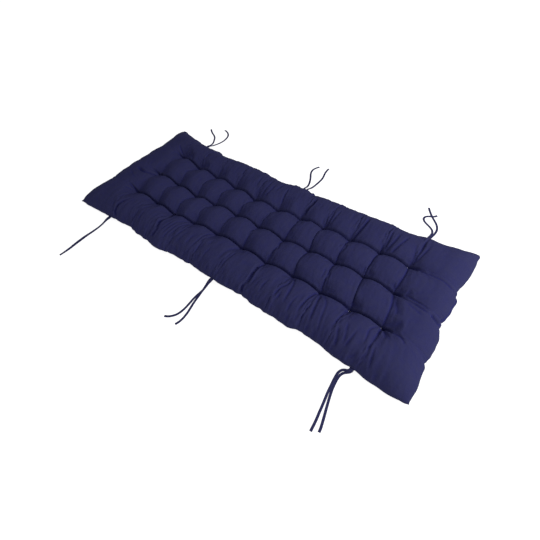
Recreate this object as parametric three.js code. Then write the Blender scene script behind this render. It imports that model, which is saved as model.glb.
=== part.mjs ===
// Tufted pad for a sun lounger, with six pairs of sewn ties lying loose beside it.
// Millimetres, +Z up, +X towards the right end, +Y towards the far side.
// The underside rests at z = 0 and the pad's box is centred on the origin.

import * as THREE from "three";
import { mergeVertices } from "three/addons/utils/BufferGeometryUtils.js";

// Heights of the filled pad
const CROWN_HEIGHT = 80;
const END_CROWN_HEIGHT = 74;
const TUFT_TOP = 36;
const TUFT_LIFT = 14;
const SEAM_HEIGHT = 24;
const CORNER_SEAM_HEIGHT = 13;
const CORNER_DROOP_POWER = 4;
const CROWN_UNEVENNESS = 3;
const UNEVENNESS_ALONG = 2.3;
const UNEVENNESS_ACROSS = 1.7;

// How the crown is shaped between the tufts
const ROW_CREASE_HEIGHT = 0.42;
const COLUMN_CREASE_HEIGHT = 0.58;
const CREASE_AT_SEAM = 0.94;
const PUFF_HALF_PITCH = 62;
const CREASE_ROUNDNESS = 0.62;
const TOP_EDGE_RADIUS = 88;
const EDGE_ROUNDNESS = 0.68;
const UNDERSIDE_EDGE_RADIUS = 46;
const UNDERSIDE_FLAT_FROM = 0.55;
const LEFT_END_SWELL = 4;
const RIGHT_END_SWELL = 9;

// Sewn ties
const TIE_WIDTH = 6.4;
const TIE_THICKNESS = 1.8;
const TIE_SIDES = 8;
const TIE_STEP = 13;

const WELD_DISTANCE = 0.001;

const NAVY = 0x2b2b52;
const FABRIC_ROUGHNESS = 0.9;

// Stations along the pad: the two end seams and the eleven columns of tufts between them.
// Each holds [x, y] on the near seam, the near, middle and far rows, and the far seam, and how
// far the near and the far seam swell outwards before the next station.
const stations = [
  {
    nearSeam: [-801.5, -338], near: [-790, -166], middle: [-794, -20], far: [-778, 150], farSeam: [-796, 344],
    nearSwell: 1, farSwell: -6,
  },
  {
    nearSeam: [-594, -335], near: [-588, -165], middle: [-593, -22], far: [-590, 137], farSeam: [-596, 287],
    nearSwell: -1, farSwell: -3,
  },
  {
    nearSeam: [-463, -328], near: [-461, -168], middle: [-464, -28], far: [-461, 115], farSeam: [-466, 276],
    nearSwell: 2, farSwell: -3,
  },
  {
    nearSeam: [-346, -340], near: [-342, -179], middle: [-340, -41], far: [-346, 111], farSeam: [-352, 269],
    nearSwell: 7, farSwell: 3,
  },
  {
    nearSeam: [-234, -338], near: [-232, -168], middle: [-235, -34], far: [-226, 102], farSeam: [-232, 273],
    nearSwell: 1, farSwell: 3,
  },
  {
    nearSeam: [-109, -330], near: [-109, -161], middle: [-111, -31], far: [-102, 88], farSeam: [-112, 266],
    nearSwell: 1, farSwell: -6,
  },
  {
    nearSeam: [20, -335], near: [21, -161], middle: [9, -33], far: [19, 90], farSeam: [8, 280],
    nearSwell: -2, farSwell: 7,
  },
  {
    nearSeam: [145, -328], near: [144, -168], middle: [136, -36], far: [129, 100], farSeam: [102, 268],
    nearSwell: 3, farSwell: 5,
  },
  {
    nearSeam: [262, -337], near: [263, -163], middle: [250, -29], far: [235, 106], farSeam: [228, 279],
    nearSwell: 4, farSwell: 2,
  },
  {
    nearSeam: [388, -333], near: [386, -168], middle: [363, -24], far: [355, 108], farSeam: [350, 284],
    nearSwell: -6, farSwell: 2,
  },
  {
    nearSeam: [505, -337], near: [507, -169], middle: [481, -20], far: [481, 115], farSeam: [474, 292],
    nearSwell: 4, farSwell: -8,
  },
  {
    nearSeam: [622, -342], near: [626, -169], middle: [600, -23], far: [599, 113], farSeam: [592, 304],
    nearSwell: 3, farSwell: -10,
  },
  {
    nearSeam: [798, -343], near: [786, -172], middle: [780, -32], far: [781, 118], farSeam: [800.5, 346],
    nearSwell: 0, farSwell: 0,
  },
];
const lines = ["nearSeam", "near", "middle", "far", "farSeam"];

// Where the grid's lines fall inside one station or band, close together at a crease
const BETWEEN_TUFTS = [0, 0.12, 0.36, 0.64, 0.88];
const FROM_SEAM = [0, 0.07, 0.21, 0.42, 0.66, 0.88];
const TO_SEAM = [0, 0.12, 0.34, 0.58, 0.79, 0.93];

function gridLines(intervals) {
  const places = [];
  for (let i = 0; i < intervals; i++) {
    const steps = i === 0 ? FROM_SEAM : i === intervals - 1 ? TO_SEAM : BETWEEN_TUFTS;
    for (const step of steps) places.push(i + step);
  }
  places.push(intervals);
  return places;
}

const lastStation = stations.length - 1;
const lastLine = lines.length - 1;
const alongPad = gridLines(lastStation);
const acrossPad = gridLines(lastLine);

const mix = (a, b, t) => a + (b - a) * t;
const clamp = (value) => Math.min(Math.max(value, 0), 1);

function nodeAt(station, line) {
  const [x, y] = stations[station][lines[line]];
  return new THREE.Vector2(x, y);
}

// Plan position of grid place (u, v): straight between the table's points, but for the swell
// of the seams, which fades over the outer band or station.
function planAt(u, v) {
  const i = Math.min(Math.floor(u), lastStation - 1);
  const j = Math.min(Math.floor(v), lastLine - 1);
  const near = nodeAt(i, j).lerp(nodeAt(i + 1, j), u - i);
  const far = nodeAt(i, j + 1).lerp(nodeAt(i + 1, j + 1), u - i);
  const place = near.lerp(far, v - j);
  const sideSwell = Math.sin(Math.PI * (u - i));
  const endSwell = Math.sin(Math.PI * (v - j));
  place.y += stations[i].farSwell * sideSwell * clamp(v - lastLine + 1);
  place.y -= stations[i].nearSwell * sideSwell * clamp(1 - v);
  place.x += RIGHT_END_SWELL * endSwell * clamp(u - lastStation + 1);
  place.x -= LEFT_END_SWELL * endSwell * clamp(1 - u);
  return place;
}

// Distance in millimetres from (u, v) to the grid line at station or band number n
const alongDistance = (u, v, n) => planAt(u, v).distanceTo(planAt(n, v));
const acrossDistance = (u, v, n) => planAt(u, v).distanceTo(planAt(u, n));

// Rounded rise from the seams, 0 on a seam and 1 from the given radius inwards
function riseFromSeams(u, v, radius) {
  const seamDistances = [
    alongDistance(u, v, 0),
    alongDistance(u, v, lastStation),
    acrossDistance(u, v, 0),
    acrossDistance(u, v, lastLine),
  ];
  return seamDistances.reduce((rise, distance) => {
    const left = 1 - clamp(distance / radius);
    return rise * (1 - left * left) ** EDGE_ROUNDNESS;
  }, 1);
}

// 0 on a crease, 1 at half a pitch from it, and steep beside the crease
function leaveCrease(distance) {
  const quarterTurn = (Math.PI / 2) * clamp(distance / PUFF_HALF_PITCH);
  return Math.sin(quarterTurn) ** CREASE_ROUNDNESS;
}

// Fullness of the puff at (u, v): 0 at a tuft, 1 on a crown, with creases from tuft to tuft
// that fade from the outer tufts to the seams.
function puffAt(u, v) {
  const column = Math.min(Math.max(Math.round(u), 1), lastStation - 1);
  const row = Math.min(Math.max(Math.round(v), 1), lastLine - 1);
  const fromColumn = leaveCrease(alongDistance(u, v, column));
  const fromRow = leaveCrease(acrossDistance(u, v, row));
  const towardsEnd = Math.max(1 - u, u - lastStation + 1, 0);
  const towardsSide = Math.max(1 - v, v - lastLine + 1, 0);
  const rowCrease = mix(ROW_CREASE_HEIGHT, CREASE_AT_SEAM, towardsEnd);
  const columnCrease = mix(COLUMN_CREASE_HEIGHT, CREASE_AT_SEAM, towardsSide);
  const onRow = rowCrease * fromColumn;
  const besideRow = mix(columnCrease, 1, fromColumn);
  return mix(onRow, besideRow, fromRow);
}

// Seams droop towards the four corners
function seamHeightAt(u, v) {
  const midLength = 1 - Math.abs((2 * u) / lastStation - 1) ** CORNER_DROOP_POWER;
  const midWidth = 1 - Math.abs((2 * v) / lastLine - 1) ** CORNER_DROOP_POWER;
  return mix(CORNER_SEAM_HEIGHT, SEAM_HEIGHT, Math.max(midLength, midWidth));
}

function topAt(u, v) {
  const wander = Math.sin(UNEVENNESS_ALONG * u + UNEVENNESS_ACROSS * Math.floor(v));
  const towardsEnd = Math.max(1 - u, u - lastStation + 1, 0);
  const crown = mix(CROWN_HEIGHT, END_CROWN_HEIGHT, towardsEnd) + CROWN_UNEVENNESS * wander;
  const filled = mix(TUFT_TOP, crown, puffAt(u, v));
  return mix(seamHeightAt(u, v), filled, riseFromSeams(u, v, TOP_EDGE_RADIUS));
}

function undersideAt(u, v) {
  const lift = TUFT_LIFT * clamp(1 - puffAt(u, v) / UNDERSIDE_FLAT_FROM);
  return mix(seamHeightAt(u, v), lift, riseFromSeams(u, v, UNDERSIDE_EDGE_RADIUS));
}

// Two panels on one grid, joined along the seam round their edge. The diagonals lean towards
// the nearest grid place of a tuft or corner, so no triangle lies wholly along the seam.
function makeCushionGeometry() {
  const columns = alongPad.length;
  const rows = acrossPad.length;
  const positions = [];
  const faces = [];
  for (const heightAt of [topAt, undersideAt]) {
    for (const v of acrossPad) {
      for (const u of alongPad) {
        const place = planAt(u, v);
        positions.push(place.x, place.y, heightAt(u, v));
      }
    }
  }
  const panel = columns * rows;
  for (let j = 0; j < rows - 1; j++) {
    for (let i = 0; i < columns - 1; i++) {
      const a = j * columns + i;
      const b = a + 1;
      const c = a + columns + 1;
      const d = a + columns;
      const slantsForward = (alongPad[i] % 1 < 0.5) === (acrossPad[j] % 1 < 0.5);
      const top = slantsForward ? [a, b, c, a, c, d] : [a, b, d, b, c, d];
      faces.push(...top);
      for (let k = 0; k < top.length; k += 3) {
        faces.push(top[k] + panel, top[k + 2] + panel, top[k + 1] + panel);
      }
    }
  }
  const geometry = new THREE.BufferGeometry();
  geometry.setAttribute("position", new THREE.Float32BufferAttribute(positions, 3));
  geometry.setIndex(faces);
  return mergeVertices(geometry, WELD_DISTANCE);
}

// Each tie tail starts on the seam at its root and lies out over the floor to its bare end.
// The points are [x, y, z] along the middle of the tape.
const tieRoutes = {
  tie_near_left_a: [
    [-603, -335.7, 18.5], [-603, -345, 18.2], [-604, -355, 16], [-605, -367, 11], [-607, -381, 6],
    [-609, -396, 2.8], [-610, -413, 1.3], [-611, -431, 1.1], [-612, -449, 1.1], [-613, -468, 1.1],
    [-613, -487, 1.1], [-613, -506, 1.1], [-613, -525, 1.1], [-613, -544, 1.1], [-614, -562, 1.1],
    [-616, -579, 1.1], [-618, -595, 1.1],
  ],
  tie_near_left_b: [
    [-596, -335.5, 18.6], [-596, -345, 18.6], [-597, -355, 17.8], [-600, -367, 14],
    [-603, -381, 8.8], [-606, -396, 5.4], [-608, -413, 3.9], [-610, -431, 3.5], [-612, -449, 3.5],
    [-614, -468, 3.5], [-615, -487, 3.5], [-615, -506, 3.5], [-614, -525, 3.5], [-613, -544, 3.5],
    [-613, -561, 3.5], [-613, -577, 3.5],
  ],
  tie_near_middle_a: [
    [11.5, -335.2, 24], [11.5, -346, 23.6], [10.5, -356, 22.2], [8.5, -369, 15.4], [6, -384, 9.2],
    [3, -399, 5.8], [0, -415, 3.6], [-1.5, -432, 1.6], [-1, -449, 1.1], [0, -466, 1.1],
    [0, -483, 1.1], [-2, -500, 1.1], [-7, -516, 1.1], [-16, -530, 1.1], [-27, -540, 1.1],
    [-40, -547, 1.1],
  ],
  tie_near_middle_b: [
    [4.5, -335.1, 24], [4.5, -346, 23.2], [4.5, -356, 19.4], [4, -369, 12], [4, -384, 6],
    [4.5, -399, 2.8], [6.5, -415, 1.3], [9, -432, 1.1], [12, -449, 1.1], [16, -466, 1.1],
    [20, -483, 1.1], [22.5, -500, 1.1], [23.5, -516, 1.1], [22, -532, 1.1], [17, -548, 1.1],
  ],
  tie_near_right_a: [
    [605.5, -343.7, 19.2], [605, -349, 19], [600, -354, 17.2], [591.5, -356.5, 13.4],
    [583.5, -361.5, 9], [578.5, -373, 5], [578, -386, 2.6], [578.5, -400, 1.3], [580, -415, 1.1],
    [581.5, -430, 1.1], [583, -446, 1.1], [585.5, -462, 1.1], [588, -478, 1.1], [590.5, -495, 1.1],
    [592.5, -512, 1.1], [595, -529, 1.1], [597, -546, 1.1], [598, -560, 1.1], [599, -571, 1.1],
  ],
  tie_near_right_b: [
    [612.5, -343.5, 19], [612, -350, 18.6], [606, -357.5, 16.2], [598, -362.5, 12.4],
    [591, -369.5, 8.2], [587, -380, 4.8], [586, -393, 2.4], [587, -408, 1.2], [589, -426, 1.1],
    [593, -446, 1.1], [597.5, -464, 1.1], [602, -481, 1.1], [606.5, -498, 1.1], [611, -515, 1.1],
    [615.5, -532, 1.1], [619, -547, 1.1], [620.5, -559, 1.1],
  ],
  tie_far_left_a: [
    [-582, 285.6, 19], [-582, 296, 18.5], [-582.5, 308, 16], [-584, 321, 11], [-588, 336, 6],
    [-594, 352, 2.8], [-602, 367, 1.3], [-611, 382, 1.1], [-621, 396, 1.1], [-633, 407, 1.1],
    [-646, 415, 1.1], [-659, 422, 1.1], [-671, 430, 1.1], [-682, 438.5, 1.1], [-692, 448, 1.1],
  ],
  tie_far_left_b: [
    [-575, 284.6, 19], [-575, 296, 18.5], [-575, 308, 16], [-574.5, 321, 11], [-573, 336, 6],
    [-570, 353, 2.8], [-566, 369, 1.3], [-562, 385, 1.1], [-560, 401, 1.1], [-560.5, 417, 1.1],
    [-563.5, 433, 1.1], [-569, 447.5, 1.1], [-578, 460.5, 1.1], [-590, 470.5, 1.1],
    [-604, 477.5, 1.1], [-619, 482, 1.1],
  ],
  tie_far_middle_a: [
    [26, 281.8, 24], [26, 291, 23.4], [25.5, 302, 20], [24, 315, 13.5], [21, 330, 7], [17, 346, 3],
    [12, 361, 1.3], [6, 376, 1.1], [-1, 391, 1.1], [-9, 405, 1.1], [-17, 419, 1.1],
    [-22.5, 433, 1.1], [-25, 447, 1.1], [-23.5, 461, 1.1], [-18, 475, 1.1], [-10, 489, 1.1],
  ],
  tie_far_middle_b: [
    [42, 282.3, 24], [42, 291, 23.4], [42, 302, 20], [42, 315, 13.5], [42.5, 330, 7],
    [43.5, 346, 3], [44.5, 362, 1.3], [46, 378, 1.1], [47.5, 395, 1.1], [48, 411, 1.1],
    [46.5, 427, 1.1], [43, 443, 1.1], [39, 458, 1.1], [36.5, 473, 1.1], [35.5, 487, 1.1],
    [36, 501, 1.1],
  ],
  tie_far_right_a: [
    [609.5, 305.4, 18.4], [609.5, 315, 18], [610, 326, 15.6], [611.5, 339, 10.6], [613.5, 354, 5.8],
    [615.5, 371, 2.8], [616, 388, 1.3], [613.5, 403, 1.1], [608, 417, 1.1], [599.5, 430, 1.1],
    [589, 441.5, 1.1], [578, 453, 1.1], [567.5, 465, 1.1], [557.5, 478, 1.1], [548, 491.5, 1.1],
    [539, 506, 1.1],
  ],
  tie_far_right_b: [
    [602.5, 305.1, 18.4], [602.5, 315, 18], [603, 326, 15.6], [604.5, 339, 10.6], [606, 354, 5.8],
    [605, 370, 2.8], [599.5, 384, 1.3], [589.5, 394, 1.1], [577, 402, 1.1], [564, 409.5, 1.1],
    [552.5, 418.5, 1.1], [545.5, 430, 1.1], [546, 442, 1.5], [553.5, 450.5, 2.4], [563, 455.5, 3.3],
    [573, 460.5, 3.6], [581, 468, 2.6], [586, 478, 1.3],
  ],
};

// A tape's path, along which its flat face stays level from side to side
class TiePath extends THREE.CatmullRomCurve3 {
  computeFrenetFrames(segments) {
    const frames = { tangents: [], normals: [], binormals: [] };
    for (let i = 0; i <= segments; i++) {
      const tangent = this.getTangentAt(i / segments);
      const sideways = new THREE.Vector3(tangent.y, -tangent.x, 0).normalize();
      frames.tangents.push(tangent);
      frames.binormals.push(sideways);
      frames.normals.push(new THREE.Vector3().crossVectors(sideways, tangent));
    }
    return frames;
  }
}

// Flat tape with rounded edges: thickness along the section's x, width along its y
function makeTieGeometry(points) {
  const section = new THREE.Shape();
  for (let side = 0; side < TIE_SIDES; side++) {
    const angle = (2 * Math.PI * (side + 0.5)) / TIE_SIDES;
    const reach = Math.cos(Math.PI / TIE_SIDES);
    const x = ((TIE_THICKNESS / 2) * Math.cos(angle)) / reach;
    const y = ((TIE_WIDTH / 2) * Math.sin(angle)) / reach;
    if (side === 0) section.moveTo(x, y);
    else section.lineTo(x, y);
  }
  section.closePath();
  const path = new TiePath(points.map((point) => new THREE.Vector3(...point)));
  const steps = Math.ceil(path.getLength() / TIE_STEP);
  return new THREE.ExtrudeGeometry(section, { steps, bevelEnabled: false, extrudePath: path });
}

function fabricMaterial() {
  return new THREE.MeshStandardMaterial({ color: NAVY, roughness: FABRIC_ROUGHNESS, metalness: 0 });
}

function makePart(name, geometry) {
  const mesh = new THREE.Mesh(geometry, fabricMaterial());
  mesh.name = name;
  return mesh;
}

const lounger = new THREE.Group();
lounger.add(makePart("cushion", makeCushionGeometry()));
for (const [name, points] of Object.entries(tieRoutes)) {
  lounger.add(makePart(name, makeTieGeometry(points)));
}

export default lounger;
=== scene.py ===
"""Looks of a tufted sun lounger pad: navy cloth, drawn-out corners, sewn tape ties and tuft threads.

Everything is in metres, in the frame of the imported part: +X along the pad towards its right end,
+Y towards its far side, +Z up, with the underside at z = 0.
"""

import math

import bpy
import numpy as np
from bpy.props import FloatProperty, FloatVectorProperty, PointerProperty
from mathutils import Matrix, Vector


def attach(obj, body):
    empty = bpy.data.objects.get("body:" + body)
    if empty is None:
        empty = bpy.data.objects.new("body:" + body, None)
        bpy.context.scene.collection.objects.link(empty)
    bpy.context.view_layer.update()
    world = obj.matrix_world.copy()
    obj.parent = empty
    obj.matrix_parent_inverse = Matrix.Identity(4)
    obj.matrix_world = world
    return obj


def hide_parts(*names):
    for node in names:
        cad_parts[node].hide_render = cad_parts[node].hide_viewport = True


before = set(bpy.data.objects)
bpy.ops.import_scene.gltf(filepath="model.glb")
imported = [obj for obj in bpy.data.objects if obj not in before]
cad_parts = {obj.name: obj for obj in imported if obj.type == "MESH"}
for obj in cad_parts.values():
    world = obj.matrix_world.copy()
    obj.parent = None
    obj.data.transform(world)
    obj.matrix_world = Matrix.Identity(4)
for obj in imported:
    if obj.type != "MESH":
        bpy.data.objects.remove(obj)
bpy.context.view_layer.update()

bl_info = {
    "name": "Tufted Lounger Pad",
    "version": (1, 0, 0),
    "blender": (4, 5, 0),
    "location": "View3D > Sidebar > Lounger Pad",
    "description": "Builds a tufted sun lounger pad with sewn ties around its packed frame",
    "category": "Object",
}

# The lattice that the pad is sewn on: two end seams and the eleven columns of tufts between them.
# Columns: [x, y] on the near seam, the near, middle and far tuft rows, and the far seam; then how
# far the near and the far seam swell outwards before the next station.
STATIONS = (
    ((-0.8050, -0.340), (-0.790, -0.166), (-0.794, -0.020), (-0.778, 0.150), (-0.792, 0.344), 0.001, -0.006),
    ((-0.594, -0.335), (-0.588, -0.165), (-0.593, -0.022), (-0.590, 0.137), (-0.596, 0.287), -0.001, -0.003),
    ((-0.463, -0.328), (-0.461, -0.168), (-0.464, -0.028), (-0.461, 0.115), (-0.466, 0.276), 0.006, -0.006),
    ((-0.346, -0.340), (-0.342, -0.179), (-0.340, -0.041), (-0.346, 0.111), (-0.352, 0.269), 0.009, 0.002),
    ((-0.234, -0.338), (-0.232, -0.168), (-0.235, -0.034), (-0.226, 0.102), (-0.232, 0.273), 0.001, 0.003),
    ((-0.109, -0.330), (-0.109, -0.161), (-0.111, -0.031), (-0.102, 0.088), (-0.112, 0.266), 0.001, -0.010),
    ((0.020, -0.335), (0.021, -0.161), (0.009, -0.033), (0.019, 0.090), (0.008, 0.280), 0.001, 0.004),
    ((0.145, -0.328), (0.144, -0.168), (0.136, -0.036), (0.129, 0.100), (0.102, 0.268), 0.001, 0.002),
    ((0.262, -0.337), (0.263, -0.163), (0.250, -0.029), (0.235, 0.106), (0.228, 0.279), 0.002, -0.002),
    ((0.388, -0.333), (0.386, -0.168), (0.363, -0.024), (0.355, 0.108), (0.350, 0.284), -0.006, 0.002),
    ((0.505, -0.337), (0.507, -0.169), (0.481, -0.020), (0.481, 0.115), (0.474, 0.292), 0.002, -0.010),
    ((0.622, -0.342), (0.626, -0.169), (0.600, -0.023), (0.599, 0.113), (0.592, 0.304), 0.008, -0.010),
    ((0.798, -0.343), (0.791, -0.187), (0.782, -0.032), (0.784, 0.121), (0.8005, 0.346), 0.0, 0.0),
)
LATTICE = np.array([station[:5] for station in STATIONS])
NEAR_SWELL = np.array([station[5] for station in STATIONS])
FAR_SWELL = np.array([station[6] for station in STATIONS])
LAST_STATION = len(STATIONS) - 1
LAST_BAND = LATTICE.shape[1] - 1
TUFT_COLUMNS = range(1, LAST_STATION)
TUFT_ROWS = range(1, LAST_BAND)

# Each tie's route along the middle of its tape, from the seam to its bare end
TIE_ROUTES = {
    "tie_near_left_a": (
        (-0.603, -0.3357, 0.0185), (-0.603, -0.345, 0.0182), (-0.604, -0.355, 0.016),
        (-0.605, -0.367, 0.011), (-0.607, -0.381, 0.006), (-0.609, -0.396, 0.0028),
        (-0.61, -0.413, 0.0013), (-0.611, -0.431, 0.0011), (-0.612, -0.449, 0.0011),
        (-0.613, -0.468, 0.0011), (-0.613, -0.487, 0.0011), (-0.613, -0.506, 0.0011),
        (-0.613, -0.525, 0.0011), (-0.613, -0.544, 0.0011), (-0.614, -0.562, 0.0011),
        (-0.616, -0.579, 0.0011), (-0.618, -0.595, 0.0011),
    ),
    "tie_near_left_b": (
        (-0.596, -0.3355, 0.0186), (-0.596, -0.345, 0.0186), (-0.597, -0.355, 0.0178),
        (-0.6, -0.367, 0.014), (-0.603, -0.381, 0.0088), (-0.606, -0.396, 0.0054),
        (-0.608, -0.413, 0.0039), (-0.61, -0.431, 0.0035), (-0.612, -0.449, 0.0035),
        (-0.614, -0.468, 0.0035), (-0.615, -0.487, 0.0035), (-0.615, -0.506, 0.0035),
        (-0.614, -0.525, 0.0035), (-0.613, -0.544, 0.0035), (-0.613, -0.561, 0.0035),
        (-0.613, -0.577, 0.0035),
    ),
    "tie_near_middle_a": (
        (0.0115, -0.3352, 0.024), (0.0115, -0.346, 0.0236), (0.0105, -0.356, 0.0222),
        (0.0085, -0.369, 0.0154), (0.006, -0.384, 0.0092), (0.003, -0.399, 0.0058), (0, -0.415, 0.0036),
        (-0.0015, -0.432, 0.0016), (-0.001, -0.449, 0.0011), (0, -0.466, 0.0011), (0, -0.483, 0.0011),
        (-0.002, -0.5, 0.0011), (-0.007, -0.516, 0.0011), (-0.016, -0.53, 0.0011),
        (-0.027, -0.54, 0.0011), (-0.04, -0.547, 0.0011),
    ),
    "tie_near_middle_b": (
        (0.0045, -0.3351, 0.024), (0.0045, -0.346, 0.0232), (0.0045, -0.356, 0.0194),
        (0.004, -0.369, 0.012), (0.004, -0.384, 0.006), (0.0045, -0.399, 0.0028),
        (0.0065, -0.415, 0.0013), (0.009, -0.432, 0.0011), (0.012, -0.449, 0.0011),
        (0.016, -0.466, 0.0011), (0.02, -0.483, 0.0011), (0.0225, -0.5, 0.0011),
        (0.0235, -0.516, 0.0011), (0.022, -0.532, 0.0011), (0.017, -0.548, 0.0011),
    ),
    "tie_near_right_a": (
        (0.6055, -0.3437, 0.0192), (0.605, -0.349, 0.019), (0.6, -0.354, 0.0172),
        (0.5915, -0.3565, 0.0134), (0.5835, -0.3615, 0.009), (0.5785, -0.373, 0.005),
        (0.578, -0.386, 0.0026), (0.5785, -0.4, 0.0013), (0.58, -0.415, 0.0011),
        (0.5815, -0.43, 0.0011), (0.583, -0.446, 0.0011), (0.5855, -0.462, 0.0011),
        (0.588, -0.478, 0.0011), (0.5905, -0.495, 0.0011), (0.5925, -0.512, 0.0011),
        (0.595, -0.529, 0.0011), (0.597, -0.546, 0.0011), (0.598, -0.56, 0.0011),
        (0.599, -0.571, 0.0011),
    ),
    "tie_near_right_b": (
        (0.6125, -0.3435, 0.019), (0.612, -0.35, 0.0186), (0.606, -0.3575, 0.0162),
        (0.598, -0.3625, 0.0124), (0.591, -0.3695, 0.0082), (0.587, -0.38, 0.0048),
        (0.586, -0.393, 0.0024), (0.587, -0.408, 0.0012), (0.589, -0.426, 0.0011),
        (0.593, -0.446, 0.0011), (0.5975, -0.464, 0.0011), (0.602, -0.481, 0.0011),
        (0.6065, -0.498, 0.0011), (0.611, -0.515, 0.0011), (0.6155, -0.532, 0.0011),
        (0.619, -0.547, 0.0011), (0.6205, -0.559, 0.0011),
    ),
    "tie_far_left_a": (
        (-0.582, 0.2856, 0.019), (-0.582, 0.296, 0.0185), (-0.5825, 0.308, 0.016),
        (-0.584, 0.321, 0.011), (-0.588, 0.336, 0.006), (-0.594, 0.352, 0.0028),
        (-0.602, 0.367, 0.0013), (-0.611, 0.382, 0.0011), (-0.621, 0.396, 0.0011),
        (-0.633, 0.407, 0.0011), (-0.646, 0.415, 0.0011), (-0.659, 0.422, 0.0011),
        (-0.671, 0.43, 0.0011), (-0.682, 0.4385, 0.0011), (-0.692, 0.448, 0.0011),
    ),
    "tie_far_left_b": (
        (-0.575, 0.2846, 0.019), (-0.575, 0.296, 0.0185), (-0.575, 0.308, 0.016),
        (-0.5745, 0.321, 0.011), (-0.573, 0.336, 0.006), (-0.57, 0.353, 0.0028),
        (-0.566, 0.369, 0.0013), (-0.562, 0.385, 0.0011), (-0.56, 0.401, 0.0011),
        (-0.5605, 0.417, 0.0011), (-0.5635, 0.433, 0.0011), (-0.569, 0.4475, 0.0011),
        (-0.578, 0.4605, 0.0011), (-0.59, 0.4705, 0.0011), (-0.604, 0.4775, 0.0011),
        (-0.619, 0.482, 0.0011),
    ),
    "tie_far_middle_a": (
        (0.026, 0.2818, 0.024), (0.026, 0.291, 0.0234), (0.0255, 0.302, 0.02), (0.024, 0.315, 0.0135),
        (0.021, 0.33, 0.007), (0.017, 0.346, 0.003), (0.012, 0.361, 0.0013), (0.006, 0.376, 0.0011),
        (-0.001, 0.391, 0.0011), (-0.009, 0.405, 0.0011), (-0.017, 0.419, 0.0011),
        (-0.0225, 0.433, 0.0011), (-0.025, 0.447, 0.0011), (-0.0235, 0.461, 0.0011),
        (-0.018, 0.475, 0.0011), (-0.01, 0.489, 0.0011),
    ),
    "tie_far_middle_b": (
        (0.042, 0.2823, 0.024), (0.042, 0.291, 0.0234), (0.042, 0.302, 0.02), (0.042, 0.315, 0.0135),
        (0.0425, 0.33, 0.007), (0.0435, 0.346, 0.003), (0.0445, 0.362, 0.0013), (0.046, 0.378, 0.0011),
        (0.0475, 0.395, 0.0011), (0.048, 0.411, 0.0011), (0.0465, 0.427, 0.0011),
        (0.043, 0.443, 0.0011), (0.039, 0.458, 0.0011), (0.0365, 0.473, 0.0011),
        (0.0355, 0.487, 0.0011), (0.036, 0.501, 0.0011),
    ),
    "tie_far_right_a": (
        (0.6095, 0.3054, 0.0184), (0.6095, 0.315, 0.018), (0.61, 0.326, 0.0156),
        (0.6115, 0.339, 0.0106), (0.6135, 0.354, 0.0058), (0.6155, 0.371, 0.0028),
        (0.616, 0.388, 0.0013), (0.6135, 0.403, 0.0011), (0.608, 0.417, 0.0011), (0.5995, 0.43, 0.0011),
        (0.589, 0.4415, 0.0011), (0.578, 0.453, 0.0011), (0.5675, 0.465, 0.0011),
        (0.5575, 0.478, 0.0011), (0.548, 0.4915, 0.0011), (0.539, 0.506, 0.0011),
    ),
    "tie_far_right_b": (
        (0.6025, 0.3051, 0.0184), (0.6025, 0.315, 0.018), (0.603, 0.326, 0.0156),
        (0.6045, 0.339, 0.0106), (0.606, 0.354, 0.0058), (0.605, 0.37, 0.0028), (0.5995, 0.384, 0.0013),
        (0.5895, 0.394, 0.0011), (0.577, 0.402, 0.0011), (0.564, 0.4095, 0.0011),
        (0.5525, 0.4185, 0.0011), (0.5455, 0.43, 0.0011), (0.546, 0.442, 0.0015),
        (0.5535, 0.4505, 0.0024), (0.563, 0.4555, 0.0033), (0.573, 0.4605, 0.0036),
        (0.581, 0.468, 0.0026), (0.586, 0.478, 0.0013),
    ),
}

# How far each tuft column's crease runs on towards the near and the far seam, in bands
CREASES_TO_NEAR_SEAM = np.array((0.0, 0.55, 0.3, 0.35, 0.25, 0.35, 0.3, 0.6, 0.35, 0.45, 0.4, 0.7, 0.0))
CREASES_TO_FAR_SEAM = np.array((0.0, 0.3, 0.25, 0.25, 0.3, 0.35, 0.4, 0.8, 0.5, 0.8, 0.5, 0.75, 0.0))
# How far each tuft row's crease runs on towards the left and the right end, in stations
CREASES_TO_LEFT_END = np.array((0.0, 0.45, 0.5, 0.4, 0.0))
CREASES_TO_RIGHT_END = np.array((0.0, 0.4, 0.9, 0.9, 0.0))
# How tightly the cloth folds from tuft to tuft of each column
COLUMN_TIGHTNESS = np.array((0.0, 0.15, 0.25, 0.35, 0.2, 0.2, 0.4, 0.7, 0.9, 1.0, 1.0, 1.0, 0.0))
# Notches where a crease pulls the seam of the right end in: place along the end, and depth
END_NOTCHES = ((0.94, 0.003), (1.84, 0.005), (2.85, 0.006))
# Notches of the long seams: near or far, place along the seam, and depth
SIDE_NOTCHES = ((0, 1.25, 0.002), (0, 7.0, 0.003), (4, 5.6, 0.003), (4, 7.2, 0.004), (4, 9.2, 0.002))

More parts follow.
